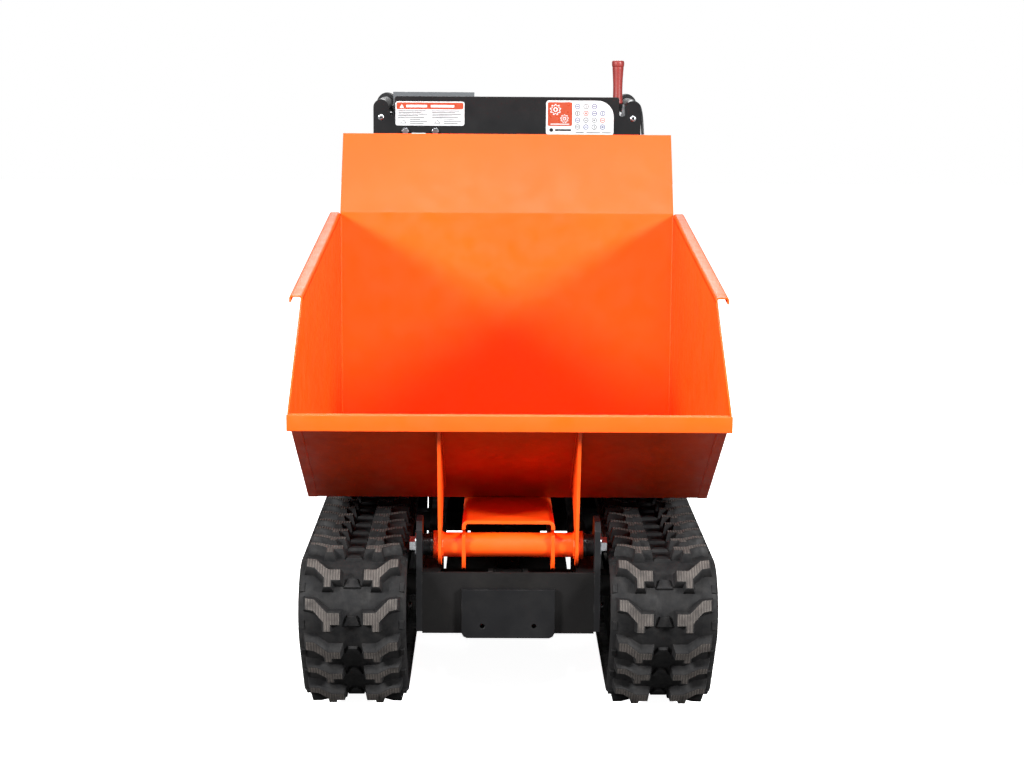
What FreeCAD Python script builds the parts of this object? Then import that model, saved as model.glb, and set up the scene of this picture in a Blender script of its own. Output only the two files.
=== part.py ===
"""Power wheelbarrow: a tracked mini dumper with a forward-tipping bucket.

Millimetres. X across the machine, Y from the track noses (front) to the grips (back), Z up from the
chassis datum. Every solid is built at its station, and save() moves it so that the origin is on the
ground at the middle of the footprint.
"""
import FreeCAD, Part
import math
import os

V = FreeCAD.Vector

# ---- overall ----
FRONT_Y = -6.0                 # front of the bucket lip
REAR_Y = 1650.0                # end of the grips
MID_Y = (FRONT_Y + REAR_Y) / 2
GROUND_Z = -28.0               # level ground under the belts

# ---- tracks ----
TRACK_X = 260.0                # centre of each track
TRACK_WIDTH = 180.0
PITCH = 60.0
LINKS = 41
CARCASS = 12.0                 # thickness of the belt without its lugs
LUG = 16.0                     # lug height
BELT = CARCASS + LUG
APPROACH = math.radians(52)    # slope of the belt at its nose and tail
TRACK_TOP = 258.0
IDLER_R = 76.0                 # inner belt radius on the front idler
IDLER_Y = IDLER_R + BELT
IDLER_Z = TRACK_TOP - IDLER_R - BELT
TEETH = 8
SPROCKET_R = PITCH * TEETH / (2 * math.pi) - CARCASS / 2
SPROCKET_Z = TRACK_TOP - SPROCKET_R - BELT
ROLLER_R = 25.0
ROLLER_Z = GROUND_Z + ROLLER_R + BELT
ROLLER_GAP = 0.2               # play between a wheel and the belt
AXLE_PLAY = 0.05
HORN_IN = 14.0                 # guide horns of the belt, from the belt's middle
HORN_OUT = 26.0
HORN_H = 8.0
HUB_X = 29.8
TREAD_IN = 32.0
TREAD_OUT = 62.0
SIDE_PLATE_IN = 66.0
SIDE_PLATE_OUT = 72.0
WEB_YS = (255, 420, 730, 900)   # webs between the centre tube and the side plates

# ---- chassis ----
RAIL_IN = 116.0
RAIL_OUT = 146.0
RAIL_Z0 = 176.0
RAIL_Z1 = 210.0
PANEL_Y = 95.0
PANEL_T = 6.0
PANEL_Z0 = 108.0
PANEL_Z1 = 214.0
CROSS_YS = (330, 830)          # cross tubes that carry the track frames
CROSS_WIDTH = 40.0
STOP_X = 161.0                 # half width of the splash plate behind the rear cross tube
BELLY_END = 800.0              # rear edge of the belly plate
CROSS_Z0 = 111.0
CROSS_Z1 = 150.0
EAR_T = 10.0
DECK_Z = 262.0
DECK_T = 6.0
DECK_Y0 = 1105.0
DECK_Y1 = 1480.0
DECK_X = 190.0
POST = 30.0

# ---- pivot of the bucket ----
PIVOT_Y = 140.0
PIVOT_Z = 252.0
PIN_R = 12.0
TUBE_R = 21.0
TUBE_BORE = 15.0
TUBE_X = 128.0

# ---- bucket ----
SHEET = 3.0
BUCKET_X = 361.0
FLOOR_Z = 290.0
SLOPE_Y = 343.0                # where the slope panel meets the floor
LIP_Z = 503.0
LIP_H = 29.0
LIP_OVER = 1.5                 # reach of the lip past the side panels
BACK_Y = 1099.0
SIDE_TOP = 747.0
KINK = (240.0, 668.0)
EXT_Y = 1198.0
EXT_Z = 909.0
FLANGE = 20.0
FLANGE_DROP = 12.0
RIB_X = 116.5
RIB_T = 5.5
RIB_R = 35.0
CHANNEL_X = 79.0
CHANNEL_T = 6.0
CHANNEL_RISE = 10.0            # rise of the channel's front end above the floor

# ---- tipping cylinder ----
TILT_MAX = math.radians(70)
FOOT = (PIVOT_Y + 40.0, PIVOT_Z - 70.0)
EYE = (PIVOT_Y + 260.0, PIVOT_Z - 16.0)
BARREL_R = 22.0
ROD_R = 11.0
LINK_PIN_R = 8.0

# ---- engine and gearbox ----
CRANK_Y = 1290.0
CRANK_Z = 378.0
CASE_TOP = 460.0
FOOT_TOP = DECK_Z + DECK_T + 14.0
MODULE = 2.5
PINION_TEETH = 12
GEAR_TEETH = 36
INPUT_ANGLE = math.radians(58)
SHAFT_R = 15.0
CASE_X = 75.0
CASE_T = 6.0
SUMP = 97.0                    # depth of the gearbox below its output shaft
PULLEY_X = -92.0
PULLEY_HALF = 8.0
CRANK_PULLEY_R = 38.0
INPUT_PULLEY_R = 42.0

# ---- console and handles ----
CONSOLE_Y = 1262.0
CONSOLE_X = 248.0
CONSOLE_TOP = 991.0
CONSOLE_BOTTOM = 640.0
EAR_X = 296.0
EAR_TOP = 984.0
NOTCH_Z = 949.0
HANDLE_X = 279.0
HANDLE_R = 14.0
HANDLE_Y = CONSOLE_Y + SHEET + HANDLE_R
HANDLE_Z = 972.0
GRIP_R = 18.0
GRIP_L = 130.0
PERCH_Y = 1497.0
PERCH_DROP = 28.0
CHEEK_NEAR = 5.0               # reach of a lever's cheek toward its clamp
LEVER_HALF = 13.0              # half the width over a lever's two cheeks
LEVER_SLOT = 9.0               # half the gap between them
SCREW_R = 3.0
SCREW_Z = 945.0
BOLT_R = 4.5
BOLT_Z = 915.0
BOLT_XS = (-225.0, -159.0)
LEVER_X = 249.0
LEVER_Y = 1345.0
LEVER_Z = 890.0
LEVER_PIN_R = 5.0
RED_BOTTOM = 975.0
RED_TOP = 1072.0

# ---- throttle cable ----
CABLE_R = 3.25
CABLE_ROUTE = [
    V(296.6, 1487, 972), V(296.6, 1420, 972), V(298, 1350, 974), V(300, 1296, 956), V(304, 1286, 890),
    V(304, 1292, 810), V(300, 1304, 730), V(282, 1322, 655), V(240, 1348, 598), V(182, 1380, 562),
    V(120, 1418, 536), V(76, 1448, 520), V(50, 1448, 520),
]


def roller_y(wheel_y, wheel_z, wheel_r, way):
    """Y of the end roller whose belt tangent with a raised wheel has the approach slope."""
    drop = (wheel_z - ROLLER_Z) * math.cos(APPROACH) - (wheel_r - ROLLER_R)
    return wheel_y + way * drop / math.sin(APPROACH)


FIRST_ROLLER_Y = roller_y(IDLER_Y, IDLER_Z, IDLER_R, 1)
ROLLER_INSET = -roller_y(0, SPROCKET_Z, SPROCKET_R, -1)


def loop_length(sprocket_y):
    """Length of the belt's middle surface for a sprocket at sprocket_y."""
    neutral = CARCASS / 2
    last_roller_y = sprocket_y - ROLLER_INSET
    wrap = (math.pi - APPROACH) * (IDLER_R + SPROCKET_R + 2 * neutral)
    bends = 2 * APPROACH * (ROLLER_R + neutral)
    nose = ((IDLER_Z - ROLLER_Z) - (IDLER_R - ROLLER_R) * math.cos(APPROACH)) / math.sin(APPROACH)
    tail = ((SPROCKET_Z - ROLLER_Z) - (SPROCKET_R - ROLLER_R) * math.cos(APPROACH)) / math.sin(APPROACH)
    runs = (sprocket_y - IDLER_Y) + (last_roller_y - FIRST_ROLLER_Y) + nose + tail
    return wrap + bends + runs


SPROCKET_Y = IDLER_Y + (PITCH * LINKS - loop_length(IDLER_Y)) / 2
LAST_ROLLER_Y = SPROCKET_Y - ROLLER_INSET
ROLLER_YS = [FIRST_ROLLER_Y + (LAST_ROLLER_Y - FIRST_ROLLER_Y) * i / 2 for i in range(3)]
GEAR_DISTANCE = MODULE * (PINION_TEETH + GEAR_TEETH) / 2
INPUT_Y = SPROCKET_Y + GEAR_DISTANCE * math.cos(INPUT_ANGLE)
INPUT_Z = SPROCKET_Z + GEAR_DISTANCE * math.sin(INPUT_ANGLE)

os.makedirs("parts", exist_ok=True)


# ---- helpers ----
def box(x0, x1, y0, y1, z0, z1):
    return Part.makeBox(x1 - x0, y1 - y0, z1 - z0, V(x0, y0, z0))


def rod_x(radius, x0, x1, y, z):
    return Part.makeCylinder(radius, x1 - x0, V(x0, y, z), V(1, 0, 0))


def rod_y(radius, y0, y1, x, z):
    return Part.makeCylinder(radius, y1 - y0, V(x, y0, z), V(0, 1, 0))


def rod_z(radius, z0, z1, x, y):
    return Part.makeCylinder(radius, z1 - z0, V(x, y, z0), V(0, 0, 1))


def prism(points, along):
    wire = Part.makePolygon(points + [points[0]])
    return Part.Face(wire).extrude(along)


def prism_x(points, x0, x1):
    return prism([V(x0, y, z) for y, z in points], V(x1 - x0, 0, 0))


def prism_y(points, y0, y1):
    return prism([V(x, y0, z) for x, z in points], V(0, y1 - y0, 0))


def fuse(*shapes):
    whole = shapes[0].fuse(list(shapes[1:])) if len(shapes) > 1 else shapes[0]
    return whole.removeSplitter()


def cut(shape, *tools):
    return shape.cut(list(tools))


def mirrored(shape):
    return shape.mirror(V(0, 0, 0), V(1, 0, 0))


def pair(shape):
    return [shape, mirrored(shape)]


def both_sides(x0, x1):
    return ((x0, x1), (-x1, -x0))


def hexagon_x(across, x0, x1, y, z):
    corner = across / math.sqrt(3)
    ring = [math.radians(30 + 60 * i) for i in range(6)]
    return prism_x([(y + corner * math.cos(a), z + corner * math.sin(a)) for a in ring], x0, x1)


def hexagon_y(across, y0, y1, x, z):
    corner = across / math.sqrt(3)
    ring = [math.radians(60 * i) for i in range(6)]
    return prism_y([(x + corner * math.cos(a), z + corner * math.sin(a)) for a in ring], y0, y1)


def pipe(points, radius, bend):
    """A round bar along straight runs joined by tangent arcs of one bend radius."""
    edges = []
    at = points[0]
    for before, corner, after in zip(points, points[1:], points[2:]):
        to_corner = (corner - before).normalize()
        onward = (after - corner).normalize()
        turn = to_corner.getAngle(onward)
        reach = bend * math.tan(turn / 2)
        start = corner - to_corner * reach
        end = corner + onward * reach
        inward = (onward - to_corner).normalize()
        middle = corner + inward * (bend / math.cos(turn / 2) - bend)
        edges.append(Part.LineSegment(at, start).toShape())
        edges.append(Part.Arc(start, middle, end).toShape())
        at = end
    edges.append(Part.LineSegment(at, points[-1]).toShape())
    path = Part.Wire(edges)
    section = Part.Wire([Part.Circle(points[0], (points[1] - points[0]).normalize(), radius).toShape()])
    body = path.makePipeShell([section], True, False)
    expected = math.pi * radius ** 2 * path.Length
    print("pipe", round(path.Length, 1), "mm, volume ratio", round(body.Volume / expected, 4), "bend", bend)
    return body


def save(name, *solids):
    """Write one node, moved so that the machine's middle stands at the origin."""
    shape = solids[0] if len(solids) == 1 else Part.makeCompound(list(solids))
    placed = shape.copy()
    placed.translate(V(0, -MID_Y, -GROUND_Z))
    for solid in placed.Solids:
        assert solid.isValid(), name
    print(name, len(placed.Solids), round(placed.Volume / 1000, 1))
    placed.exportStep("parts/" + name + ".step")


# ---- tracks ----
def loop_face(offset):
    """Side outline of the belt, offset outward from its inner surface."""
    tilt = APPROACH
    wheels = [
        (IDLER_Y, IDLER_Z, IDLER_R, -1, 0.0, math.pi - tilt),
        (FIRST_ROLLER_Y, ROLLER_Z, ROLLER_R, -1, math.pi - tilt, math.pi),
        (LAST_ROLLER_Y, ROLLER_Z, ROLLER_R, 1, math.pi, math.pi - tilt),
        (SPROCKET_Y, SPROCKET_Z, SPROCKET_R, 1, math.pi - tilt, 0.0),
    ]
    edges = []
    ends = []
    for y, z, radius, way, a0, a1 in wheels:
        reach = radius + offset
        arc = [V(0, y + way * reach * math.sin(a), z + reach * math.cos(a)) for a in (a0, (a0 + a1) / 2, a1)]
        ends.append((arc[0], arc[2]))
        edges.append(Part.Arc(*arc).toShape())
    for i in range(4):
        edges.append(Part.LineSegment(ends[i][1], ends[(i + 1) % 4][0]).toShape())
    return Part.Face(Part.Wire(Part.__sortEdges__(edges)))


def loop_band(inner, outer, x0, x1):
    ring = loop_face(outer).cut(loop_face(inner))
    ring.translate(V(x0, 0, 0))
    return ring.extrude(V(x1 - x0, 0, 0))


def on_loop(distance):
    """Point and outward angle on the belt's middle surface, starting at the top of the idler, nose first."""
    neutral = CARCASS / 2
    wrap = math.pi - APPROACH
    nose = ((IDLER_Z - ROLLER_Z) - (IDLER_R - ROLLER_R) * math.cos(APPROACH)) / math.sin(APPROACH)
    tail = ((SPROCKET_Z - ROLLER_Z) - (SPROCKET_R - ROLLER_R) * math.cos(APPROACH)) / math.sin(APPROACH)
    pieces = [
        ("arc", IDLER_Y, IDLER_Z, IDLER_R + neutral, 0.0, wrap),
        ("run", nose, wrap),
        ("arc", FIRST_ROLLER_Y, ROLLER_Z, ROLLER_R + neutral, wrap, math.pi),
        ("run", LAST_ROLLER_Y - FIRST_ROLLER_Y, math.pi),
        ("arc", LAST_ROLLER_Y, ROLLER_Z, ROLLER_R + neutral, math.pi, math.pi + APPROACH),
        ("run", tail, math.pi + APPROACH),
        ("arc", SPROCKET_Y, SPROCKET_Z, SPROCKET_R + neutral, math.pi + APPROACH, 2 * math.pi),
        ("run", SPROCKET_Y - IDLER_Y, 2 * math.pi),
    ]
    left = distance
    for piece in pieces:
        if piece[0] == "arc":
            y, z, radius, a0, a1 = piece[1:]
            length = radius * (a1 - a0)
            angle = a0 + min(left, length) / radius
            point = (y - radius * math.sin(angle), z + radius * math.cos(angle))
        else:
            length, angle = piece[1:]
            step = min(left, length)
            point = (point[0] - step * math.cos(angle), point[1] - step * math.sin(angle))
        if left <= length:
            return point, angle
        left -= length
    return point, angle


def on_belt(shape, distance):
    """Place a shape drawn with +Z outward and +Y back along the belt's travel."""
    (y, z), angle = on_loop(distance % (PITCH * LINKS))
    moved = shape.copy()
    moved.rotate(V(0, 0, 0), V(1, 0, 0), math.degrees(angle))
    moved.translate(V(0, y, z))
    return moved


def lug_outline():
    """Half of one chevron lug, as distance from the belt's outer edge and distance down the belt."""
    half = TRACK_WIDTH / 2
    points = [(13, 0), (28, 1), (50, 19), (71, 19), (71, 37), (56, 37), (56, 46.5), (43, 46.5), (43, 33),
              (28, 18), (13, 16)]
    return [V(half - edge, -down, 0) for edge, down in points]


def make_belt():
    half = TRACK_WIDTH / 2
    carcass = loop_band(0, CARCASS, -half, half)
    base = Part.Face(Part.makePolygon(lug_outline() + lug_outline()[:1]))
    base.translate(V(0, 23, CARCASS / 2 - 14))
    half_lug = base.extrude(V(0, 0, LUG + 28))
    horn = box(HORN_IN, HORN_OUT, -11, 11, -CARCASS / 2 - HORN_H, -CARCASS / 2 + 2)
    lugs = []
    horns = []
    for i in range(LINKS):
        lugs += [on_belt(shape, PITCH * i) for shape in pair(half_lug)]
        horns += [on_belt(shape, PITCH * (i + 0.5)) for shape in pair(horn)]
    zone = loop_band(CARCASS - 1, BELT, -half, half)
    trimmed = zone.common(Part.makeCompound(lugs))
    belt = carcass.fuse(trimmed.Solids + horns)
    return belt.removeSplitter()


def make_idler():
    rim = IDLER_R - ROLLER_GAP
    disc = rod_x(rim, -11, 11, IDLER_Y, IDLER_Z)
    for side in (-1, 1):
        x0, x1 = sorted((side * 6, side * 11))
        disc = cut(disc, cut(rod_x(rim - 12, x0, x1, IDLER_Y, IDLER_Z), rod_x(26, x0, x1, IDLER_Y, IDLER_Z)))
    hub = rod_x(22, -HUB_X, HUB_X, IDLER_Y, IDLER_Z)
    return cut(fuse(disc, hub), rod_x(10 + AXLE_PLAY, -HUB_X, HUB_X, IDLER_Y, IDLER_Z))


def make_sprocket():
    """Toothed wheel on its drive shaft, drawn for the right track."""
    tip = SPROCKET_R - ROLLER_GAP
    root = tip - 14
    outline = []
    for i in range(TEETH):
        middle = 2 * math.pi * i / TEETH
        for radius, half in ((root, -0.24), (tip, -0.11), (tip, 0.11), (root, 0.24)):
            angle = middle + half
            outline.append((SPROCKET_Y + radius * math.sin(angle), SPROCKET_Z + radius * math.cos(angle)))
    inner_end = 46.0 - TRACK_X
    shaft = rod_x(SHAFT_R, inner_end, 28, SPROCKET_Y, SPROCKET_Z)
    return fuse(prism_x(outline, -10, 10), rod_x(30, -24, 24, SPROCKET_Y, SPROCKET_Z), shaft)


def make_roller(y):
    parts = [rod_x(13, -TREAD_OUT, TREAD_OUT, y, ROLLER_Z)]
    for x0, x1 in both_sides(TREAD_IN, TREAD_OUT):
        parts.append(rod_x(ROLLER_R - ROLLER_GAP, x0, x1, y, ROLLER_Z))
    return cut(fuse(*parts), rod_x(8 + AXLE_PLAY, -TREAD_OUT, TREAD_OUT, y, ROLLER_Z))


def make_track_frame():
    """Centre tube, idler fork, roller side plates and the webs between them, about the track's middle."""
    end = SPROCKET_Y - 90
    tube = cut(box(-30, 30, 215, end, 95, 155), box(-25, 25, 215, end, 100, 150))
    fork = [(IDLER_Y - 16, IDLER_Z - 16), (250, 110), (250, 150), (IDLER_Y + 10, IDLER_Z + 18),
            (IDLER_Y - 16, IDLER_Z + 14)]
    low = ROLLER_Z - 12
    plate = [(FIRST_ROLLER_Y - 15, low), (LAST_ROLLER_Y + 15, low), (LAST_ROLLER_Y + 15, ROLLER_Z + 18),
             (LAST_ROLLER_Y - 40, 104), (FIRST_ROLLER_Y + 70, 104), (FIRST_ROLLER_Y - 15, ROLLER_Z + 18)]
    axle_bores = [rod_x(8, -SIDE_PLATE_OUT, SIDE_PLATE_OUT, y, ROLLER_Z) for y in ROLLER_YS]
    parts = [tube]
    for x0, x1 in both_sides(30, 36):
        parts.append(cut(prism_x(fork, x0, x1), rod_x(10, x0, x1, IDLER_Y, IDLER_Z)))
    for x0, x1 in both_sides(SIDE_PLATE_IN, SIDE_PLATE_OUT):
        parts.append(cut(prism_x(plate, x0, x1), *axle_bores))
    for y in WEB_YS:
        for x0, x1 in both_sides(30, SIDE_PLATE_IN):
            parts.append(box(x0, x1, y, y + 30, 96, 104))
    return parts


def make_track_axles():
    axles = [rod_x(10, -42, 42, IDLER_Y, IDLER_Z)]
    axles += [rod_x(8, -SIDE_PLATE_OUT - 4, SIDE_PLATE_OUT + 4, y, ROLLER_Z) for y in ROLLER_YS]
    return axles


BELT_SHAPE = make_belt()


def at_track(shape, side):
    moved = shape.copy()
    moved.translate(V(side * TRACK_X, 0, 0))
    return moved


# ---- chassis ----
def make_chassis():
    """Rails, front panel, belly and splash plates, cross tubes, posts and brackets, welded where they touch."""
    parts = []
    lug_y = FOOT[0]
    inner = TRACK_X - 30
    for x0, x1 in both_sides(RAIL_IN, RAIL_OUT):
        parts.append(box(x0, x1, PANEL_Y + PANEL_T, DECK_Y1, RAIL_Z0, RAIL_Z1))
        for y in CROSS_YS:
            parts.append(box(x0, x1, y, y + CROSS_WIDTH, CROSS_Z1, RAIL_Z0))
        for y in (DECK_Y0 + 15, DECK_Y1 - 45):
            parts.append(box(x0, x1, y, y + POST, RAIL_Z1, DECK_Z))
    for y in CROSS_YS:
        parts.append(box(-inner, inner, y, y + CROSS_WIDTH, CROSS_Z0, CROSS_Z1))
    panel = box(-RAIL_OUT, RAIL_OUT, PANEL_Y, PANEL_Y + PANEL_T, PANEL_Z0, PANEL_Z1)
    parts.append(cut(panel, *[rod_y(4.25, PANEL_Y, PANEL_Y + PANEL_T, x, 123) for x in (-44, 44)]))
    parts.append(box(-RAIL_IN, RAIL_IN, PANEL_Y + PANEL_T, BELLY_END, CROSS_Z0 - SHEET, CROSS_Z0))
    stop = CROSS_YS[1] + CROSS_WIDTH
    parts.append(box(-STOP_X, STOP_X, stop, stop + 4, CROSS_Z0, RAIL_Z0))
    for x0, x1 in ((-STOP_X, -RAIL_OUT), (-RAIL_IN, RAIL_IN), (RAIL_OUT, STOP_X)):
        parts.append(box(x0, x1, stop, stop + 4, RAIL_Z0, RAIL_Z1 - 6))
    bracket = [(PANEL_Y + PANEL_T, 150), (lug_y, FOOT[1] - 18), (lug_y + 16, FOOT[1] - 8),
               (lug_y + 16, FOOT[1] + 8), (lug_y, FOOT[1] + 18), (PANEL_Y + PANEL_T, 215)]
    for x0, x1 in both_sides(26, 34):
        parts.append(cut(prism_x(bracket, x0, x1), rod_x(LINK_PIN_R, x0, x1, FOOT[0], FOOT[1])))
    for x0, x1 in both_sides(CASE_X - 20, RAIL_IN):
        parts.append(box(x0, x1, 1150, 1180, RAIL_Z0, 200))
    return parts


def make_deck():
    """Engine deck, and at each side the block and arm that carry a handle tube."""
    plate = box(-DECK_X, DECK_X, DECK_Y0, DECK_Y1, DECK_Z, DECK_Z + DECK_T)
    belt_slot = box(PULLEY_X - 14, PULLEY_X + 14, DECK_Y0, 1262, DECK_Z, DECK_Z + DECK_T)
    parts = [cut(plate, belt_slot)]
    for x0, x1 in both_sides(150, DECK_X):
        parts.append(box(x0, x1, HANDLE_Y - 60, HANDLE_Y + 60, DECK_Z - 24, DECK_Z))
    for x0, x1 in both_sides(DECK_X, HANDLE_X + 18):
        parts.append(box(x0, x1, HANDLE_Y - 18, HANDLE_Y + 18, DECK_Z - 24, DECK_Z + DECK_T))
    return parts


def make_ear():
    """Side plate of the pivot with its lobed head and boss."""
    side = [(PANEL_Y, 111), (230, 111), (262, 150), (262, RAIL_Z1), (200, 240), (PIVOT_Y + 26, 282),
            (PIVOT_Y + 14, 300), (PANEL_Y + 14, 300), (PANEL_Y, 286)]
    plate = prism_x(side, RAIL_OUT, RAIL_OUT + EAR_T)
    boss = rod_x(19, RAIL_OUT - 13, RAIL_OUT, PIVOT_Y, PIVOT_Z)
    return cut(fuse(plate, boss), rod_x(PIN_R, 100, 200, PIVOT_Y, PIVOT_Z))


def make_front_plate():
    half = 79
    low = 102
    points = [(-half, 187), (-half, low + 9), (-half + 3, low + 3), (-half + 9, low), (half - 9, low),
              (half - 3, low + 3), (half, low + 9), (half, 187)]
    plate = prism_y(points, PANEL_Y - 10, PANEL_Y)
    return cut(plate, *[rod_y(4.25, PANEL_Y - 10, PANEL_Y, x, 123) for x in (-44, 44)])


# ---- bucket ----
def mitred(points, thickness):
    """Inner points of a folded sheet, thickness to the left of the line from the first point to the last."""
    offsets = []
    for a, b in zip(points, points[1:]):
        length = math.hypot(b[0] - a[0], b[1] - a[1])
        offsets.append((-(b[1] - a[1]) / length * thickness, (b[0] - a[0]) / length * thickness))
    inner = [(points[0][0] + offsets[0][0], points[0][1] + offsets[0][1])]
    for i in range(1, len(points) - 1):
        n0, n1 = offsets[i - 1], offsets[i]
        scale = thickness ** 2 / (thickness ** 2 + n0[0] * n1[0] + n0[1] * n1[1])
        inner.append((points[i][0] + (n0[0] + n1[0]) * scale, points[i][1] + (n0[1] + n1[1]) * scale))
    inner.append((points[-1][0] + offsets[-1][0], points[-1][1] + offsets[-1][1]))
    return inner


LIP_BACK = FRONT_Y + SHEET
SLOPE_RISE = (LIP_Z - FLOOR_Z) / (SLOPE_Y - FRONT_Y)
SLOPE_TOP = (LIP_BACK, LIP_Z - SHEET * SLOPE_RISE)
OUTLINE = [SLOPE_TOP, (SLOPE_Y, FLOOR_Z), (BACK_Y, FLOOR_Z), (BACK_Y, SIDE_TOP), (EXT_Y, EXT_Z)]
INLINE = mitred(OUTLINE, SHEET)
INSIDE_X = BUCKET_X - SHEET


def bucket_panel(index):
    points = [OUTLINE[index], OUTLINE[index + 1], INLINE[index + 1], INLINE[index]]
    return prism_x(points, -INSIDE_X, INSIDE_X)


def make_slope():
    over = BUCKET_X + LIP_OVER
    lip = [(FRONT_Y, LIP_Z), (FRONT_Y, LIP_Z - LIP_H), (LIP_BACK + 12, LIP_Z - LIP_H),
           (LIP_BACK + 12, LIP_Z - LIP_H + SHEET), (LIP_BACK, LIP_Z - LIP_H + SHEET), (LIP_BACK, LIP_Z)]
    bead = prism_x([SLOPE_TOP, INLINE[0], (LIP_BACK, LIP_Z)], -INSIDE_X, INSIDE_X)
    return fuse(bucket_panel(0), prism_x(lip, -over, over), bead)


def make_side():
    profile = [(LIP_BACK, SLOPE_TOP[1]), OUTLINE[1], OUTLINE[2], (BACK_Y, SIDE_TOP), KINK,
               (LIP_BACK, LIP_Z + 2)]
    plate = prism_x(profile, INSIDE_X, BUCKET_X)
    flange = prism_x([KINK, (BACK_Y, SIDE_TOP), (BACK_Y, SIDE_TOP - SHEET), (KINK[0], KINK[1] - SHEET)],
                     BUCKET_X, BUCKET_X + FLANGE)
    drop = prism_x([(KINK[0], KINK[1] - SHEET), (BACK_Y, SIDE_TOP - SHEET), (BACK_Y, SIDE_TOP - FLANGE_DROP),
                    (KINK[0], KINK[1] - FLANGE_DROP)], BUCKET_X + FLANGE - SHEET, BUCKET_X + FLANGE)
    return fuse(plate, flange, drop)


def make_rib():
    """Front rib between the slope panel and the pivot tube."""
    top = (30.0, LIP_Z - (30.0 - FRONT_Y) * SLOPE_RISE)
    back = (300.0, LIP_Z - (300.0 - FRONT_Y) * SLOPE_RISE)
    knee = (200.0, FLOOR_Z + 4)
    plate = prism_x([top, (PIVOT_Y - RIB_R, PIVOT_Z), (PIVOT_Y + RIB_R, PIVOT_Z), knee, back],
                    RIB_X - RIB_T / 2, RIB_X + RIB_T / 2)
    foot = rod_x(RIB_R, RIB_X - RIB_T / 2, RIB_X + RIB_T / 2, PIVOT_Y, PIVOT_Z)
    return cut(fuse(plate, foot), rod_x(TUBE_R, 100, 130, PIVOT_Y, PIVOT_Z))


def make_channel():
    """Inverted U channel under the floor that carries the pivot tube and the cylinder's eye pin."""
    front = PIVOT_Y - TUBE_R - CHANNEL_T
    end = 820.0
    depth = PIVOT_Z - 42
    inner = CHANNEL_X - CHANNEL_T
    head = FLOOR_Z + CHANNEL_RISE
    web = prism_x([(front, head), (SLOPE_Y, FLOOR_Z), (end, FLOOR_Z), (end, FLOOR_Z - CHANNEL_T),
                   (SLOPE_Y, FLOOR_Z - CHANNEL_T), (front, head - CHANNEL_T)], -CHANNEL_X, CHANNEL_X)
    leg = [(front, head - CHANNEL_T), (front, depth + 14), (front + 14, depth), (460, depth), (560, 250),
           (end, 262), (end, FLOOR_Z - CHANNEL_T), (SLOPE_Y, FLOOR_Z - CHANNEL_T)]
    legs = [prism_x(leg, x0, x1) for x0, x1 in both_sides(inner, CHANNEL_X)]
    whole = fuse(web, *legs)
    pin = rod_x(LINK_PIN_R, -CHANNEL_X, CHANNEL_X, EYE[0], EYE[1])
    return cut(whole, rod_x(TUBE_R, -TUBE_X, TUBE_X, PIVOT_Y, PIVOT_Z), pin)


def make_pivot_tube():
    collars = [rod_x(24, x0, x1, PIVOT_Y, PIVOT_Z) for x0, x1 in both_sides(RIB_X + RIB_T / 2, TUBE_X)]
    tube = fuse(rod_x(TUBE_R, -TUBE_X, TUBE_X, PIVOT_Y, PIVOT_Z), *collars)
    bush_x = TUBE_X - 30
    relief = rod_x(TUBE_BORE, -bush_x, bush_x, PIVOT_Y, PIVOT_Z)
    return cut(tube, relief, rod_x(PIN_R + AXLE_PLAY, -TUBE_X, TUBE_X, PIVOT_Y, PIVOT_Z))


# ---- tipping cylinder ----
LINK = V(0, EYE[0] - FOOT[0], EYE[1] - FOOT[1])
LINK_CLOSED = LINK.Length
LINK_DIR = V(LINK).normalize()
LINK_SIDE = V(0, -LINK_DIR.z, LINK_DIR.y)


def along_link(distance):
    return V(0, FOOT[0], FOOT[1]) + LINK_DIR * distance


def link_rod(radius, start, end):
    return Part.makeCylinder(radius, end - start, along_link(start), LINK_DIR)


def eye_drift(share):
    """Where the bucket's pin stands in the rod's own frame when swing and stroke keep constant ratios."""
    def link_at(tilt):
        y = EYE[0] - PIVOT_Y
        z = EYE[1] - PIVOT_Z
        turned = V(0, y * math.cos(tilt) - z * math.sin(tilt), y * math.sin(tilt) + z * math.cos(tilt))
        reach = turned - V(0, FOOT[0] - PIVOT_Y, FOOT[1] - PIVOT_Z)
        return reach.Length, math.atan2(reach.z, reach.y)
    first = link_at(0)
    last = link_at(TILT_MAX)
    now = link_at(share * TILT_MAX)
    off_angle = now[1] - first[1] - share * (last[1] - first[1])
    rod_reach = first[0] + share * (last[0] - first[0])
    if share == 1:
        print("swing ratio", (last[1] - first[1]) / TILT_MAX)
        print("stroke per radian", (last[0] - first[0]) / TILT_MAX)
    return now[0] * math.cos(off_angle) - rod_reach, now[0] * math.sin(off_angle)


def make_barrel():
    foot = rod_x(18, -22, 22, FOOT[0], FOOT[1])
    body = link_rod(BARREL_R, 24, 158)
    neck = link_rod(13, 10, 30)
    head = link_rod(BARREL_R + 3, 148, 162)
    solid = fuse(foot, body, neck, head)
    bore = link_rod(17, 34, 148)
    mouth = link_rod(ROD_R + AXLE_PLAY, 140, 170)
    return cut(solid, bore, mouth, rod_x(LINK_PIN_R + AXLE_PLAY, -22, 22, FOOT[0], FOOT[1]))


def make_rod():
    piston = link_rod(17 - AXLE_PLAY, 38, 54)
    rod = link_rod(ROD_R, 54, LINK_CLOSED - 14)
    drifts = [eye_drift(i / 10) for i in range(11)]
    centres = [along_link(LINK_CLOSED + a) + LINK_SIDE * b for a, b in drifts]
    eye = [rod_x(LINK_PIN_R + 9, -20, 20, c.y, c.z) for c in centres]
    slots = [rod_x(LINK_PIN_R + 1.5, -20, 20, c.y, c.z) for c in centres]
    neck = link_rod(15, LINK_CLOSED - 24, LINK_CLOSED - 8)
    return cut(fuse(piston, rod, neck, *eye), fuse(*slots))


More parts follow.
